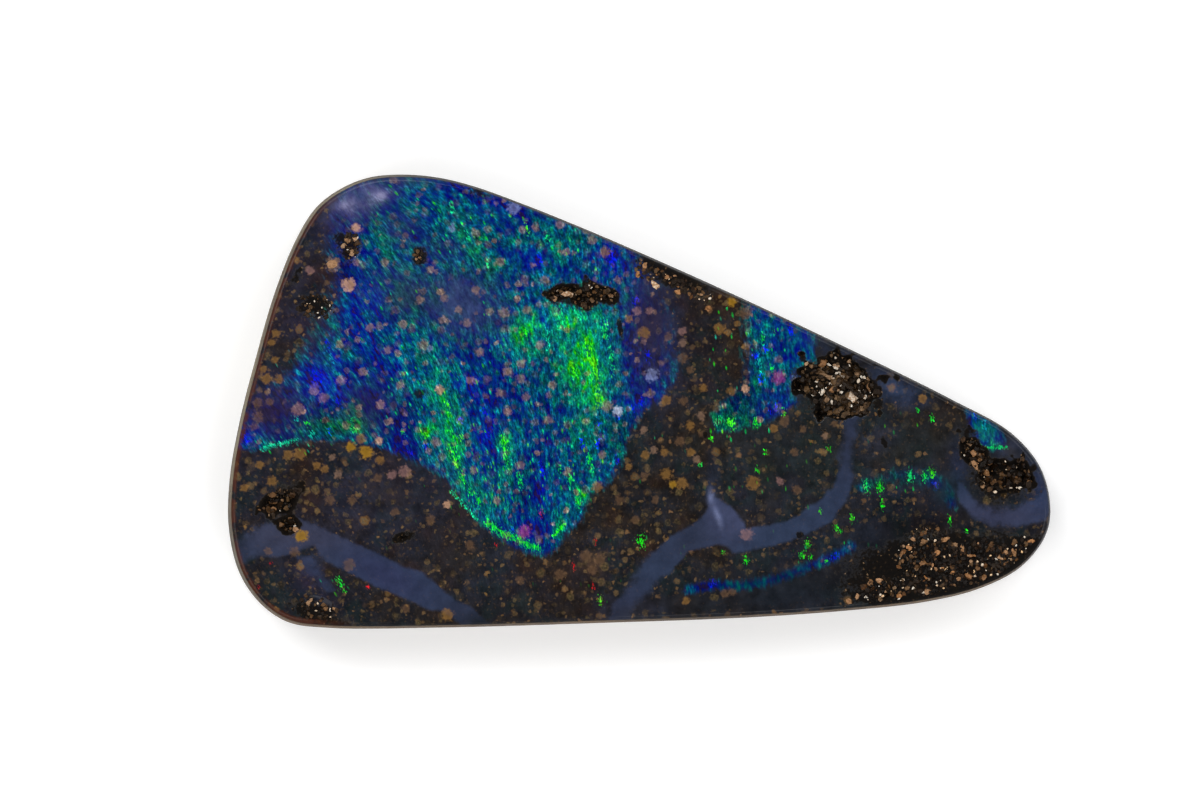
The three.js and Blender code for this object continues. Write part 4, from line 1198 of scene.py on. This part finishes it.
points, quads, fan, side = stone_surface()
stone = add_mesh("opal_stone_surface", points, quads, fan)
stone.data.shade_smooth()
face_fields(stone, points, side)
stone.data.materials.append(opal_material())
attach(stone, "root")
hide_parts("opal_stone")

grains = pit_grains()
grains.data.materials.append(grain_material())
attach(grains, "root")


# Half the floor's width in metres, and how much light it gives by itself, as a light table does
FLOOR_HALF, FLOOR_GLOW = 0.6, 0.22

# The lamps' shared power, how high up in degrees and how far off in metres they stand, and their width.
# The polished face mirrors none of them, seen from above or low from the side.
LAMP_POWER, LAMP_ELEVATION, LAMP_DISTANCE, LAMP_SIZE = 0.515, 57, 0.35, 0.19

# Each lamp's name, where it stands in degrees against the clock from +X, and its share of the power
LAMPS = [("key", 130, 1.3), ("right", 40, 0.9), ("near left", 220, 0.8), ("near right", 310, 0.9)]

# The sky's strength, and how strong it is below the floor
SKY, BELOW = 0.06, 1.0

# How high the camera is, in metres
CAMERA_HEIGHT = 0.2


def floor():
    """A plain pale floor."""
    half = FLOOR_HALF
    ground = bpy.data.meshes.new("floor")
    corners = [(-half, -half, 0), (half, -half, 0), (half, half, 0), (-half, half, 0)]
    ground.from_pydata(corners, [], [(0, 1, 2, 3)])
    made = bpy.data.objects.new("floor", ground)
    bpy.context.scene.collection.objects.link(made)
    w = Wiring("pale_floor")
    plain = w.add("ShaderNodeBsdfDiffuse", {"Color": (0.9, 0.9, 0.9, 1)})
    lit = w.add("ShaderNodeEmission", {"Color": (1, 1, 1, 1), "Strength": FLOOR_GLOW})
    shader = w.add("ShaderNodeAddShader", {0: plain.outputs[0], 1: lit.outputs[0]})
    w.add("ShaderNodeOutputMaterial", {"Surface": shader.outputs[0]})
    ground.materials.append(w.material)


def lamp(name, azimuth, share):
    """A soft square lamp that faces the stone."""
    data = bpy.data.lights.new(name, "AREA")
    data.size = LAMP_SIZE
    data.energy = LAMP_POWER * share
    made = bpy.data.objects.new(name, data)
    a, e = math.radians(azimuth), math.radians(LAMP_ELEVATION)
    out, up = LAMP_DISTANCE * math.cos(e), LAMP_DISTANCE * math.sin(e)
    made.location = (out * math.cos(a), out * math.sin(a), up)
    made.rotation_euler = (math.pi / 2 - e, 0, a + math.pi / 2)
    bpy.context.scene.collection.objects.link(made)


floor()
for light in LAMPS:
    lamp(*light)

# The sky is faint, and white below the floor
world = bpy.data.worlds.new("studio")
world.use_nodes = True
sky = world.node_tree
heading = sky.nodes.new("ShaderNodeSeparateXYZ")
sky.links.new(sky.nodes.new("ShaderNodeTexCoord").outputs["Generated"], heading.inputs[0])
strength = sky.nodes.new("ShaderNodeMapRange")
for socket, value in (("From Min", -0.01), ("From Max", 0.0), ("To Min", BELOW), ("To Max", SKY)):
    strength.inputs[socket].default_value = value
sky.links.new(heading.outputs[2], strength.inputs["Value"])
sky.nodes["Background"].inputs["Color"].default_value = (1, 1, 1, 1)
sky.links.new(strength.outputs[0], sky.nodes["Background"].inputs["Strength"])
bpy.context.scene.world = world

# The camera looks straight down on the face, square to it
FRAME_WIDTH = PICTURE_WIDTH / PIXELS_PER_MM
camera_data = bpy.data.cameras.new("camera")
camera_data.type = "ORTHO"
camera_data.ortho_scale = FRAME_WIDTH * MM
camera_data.clip_start = 0.001
camera = bpy.data.objects.new("camera", camera_data)
middle = face_place(*PICTURE_MIDDLE)
camera.location = (middle[0] * MM, middle[1] * MM, CAMERA_HEIGHT)
bpy.context.scene.collection.objects.link(camera)
bpy.context.scene.camera = camera
bpy.context.scene.view_settings.view_transform = "Standard"
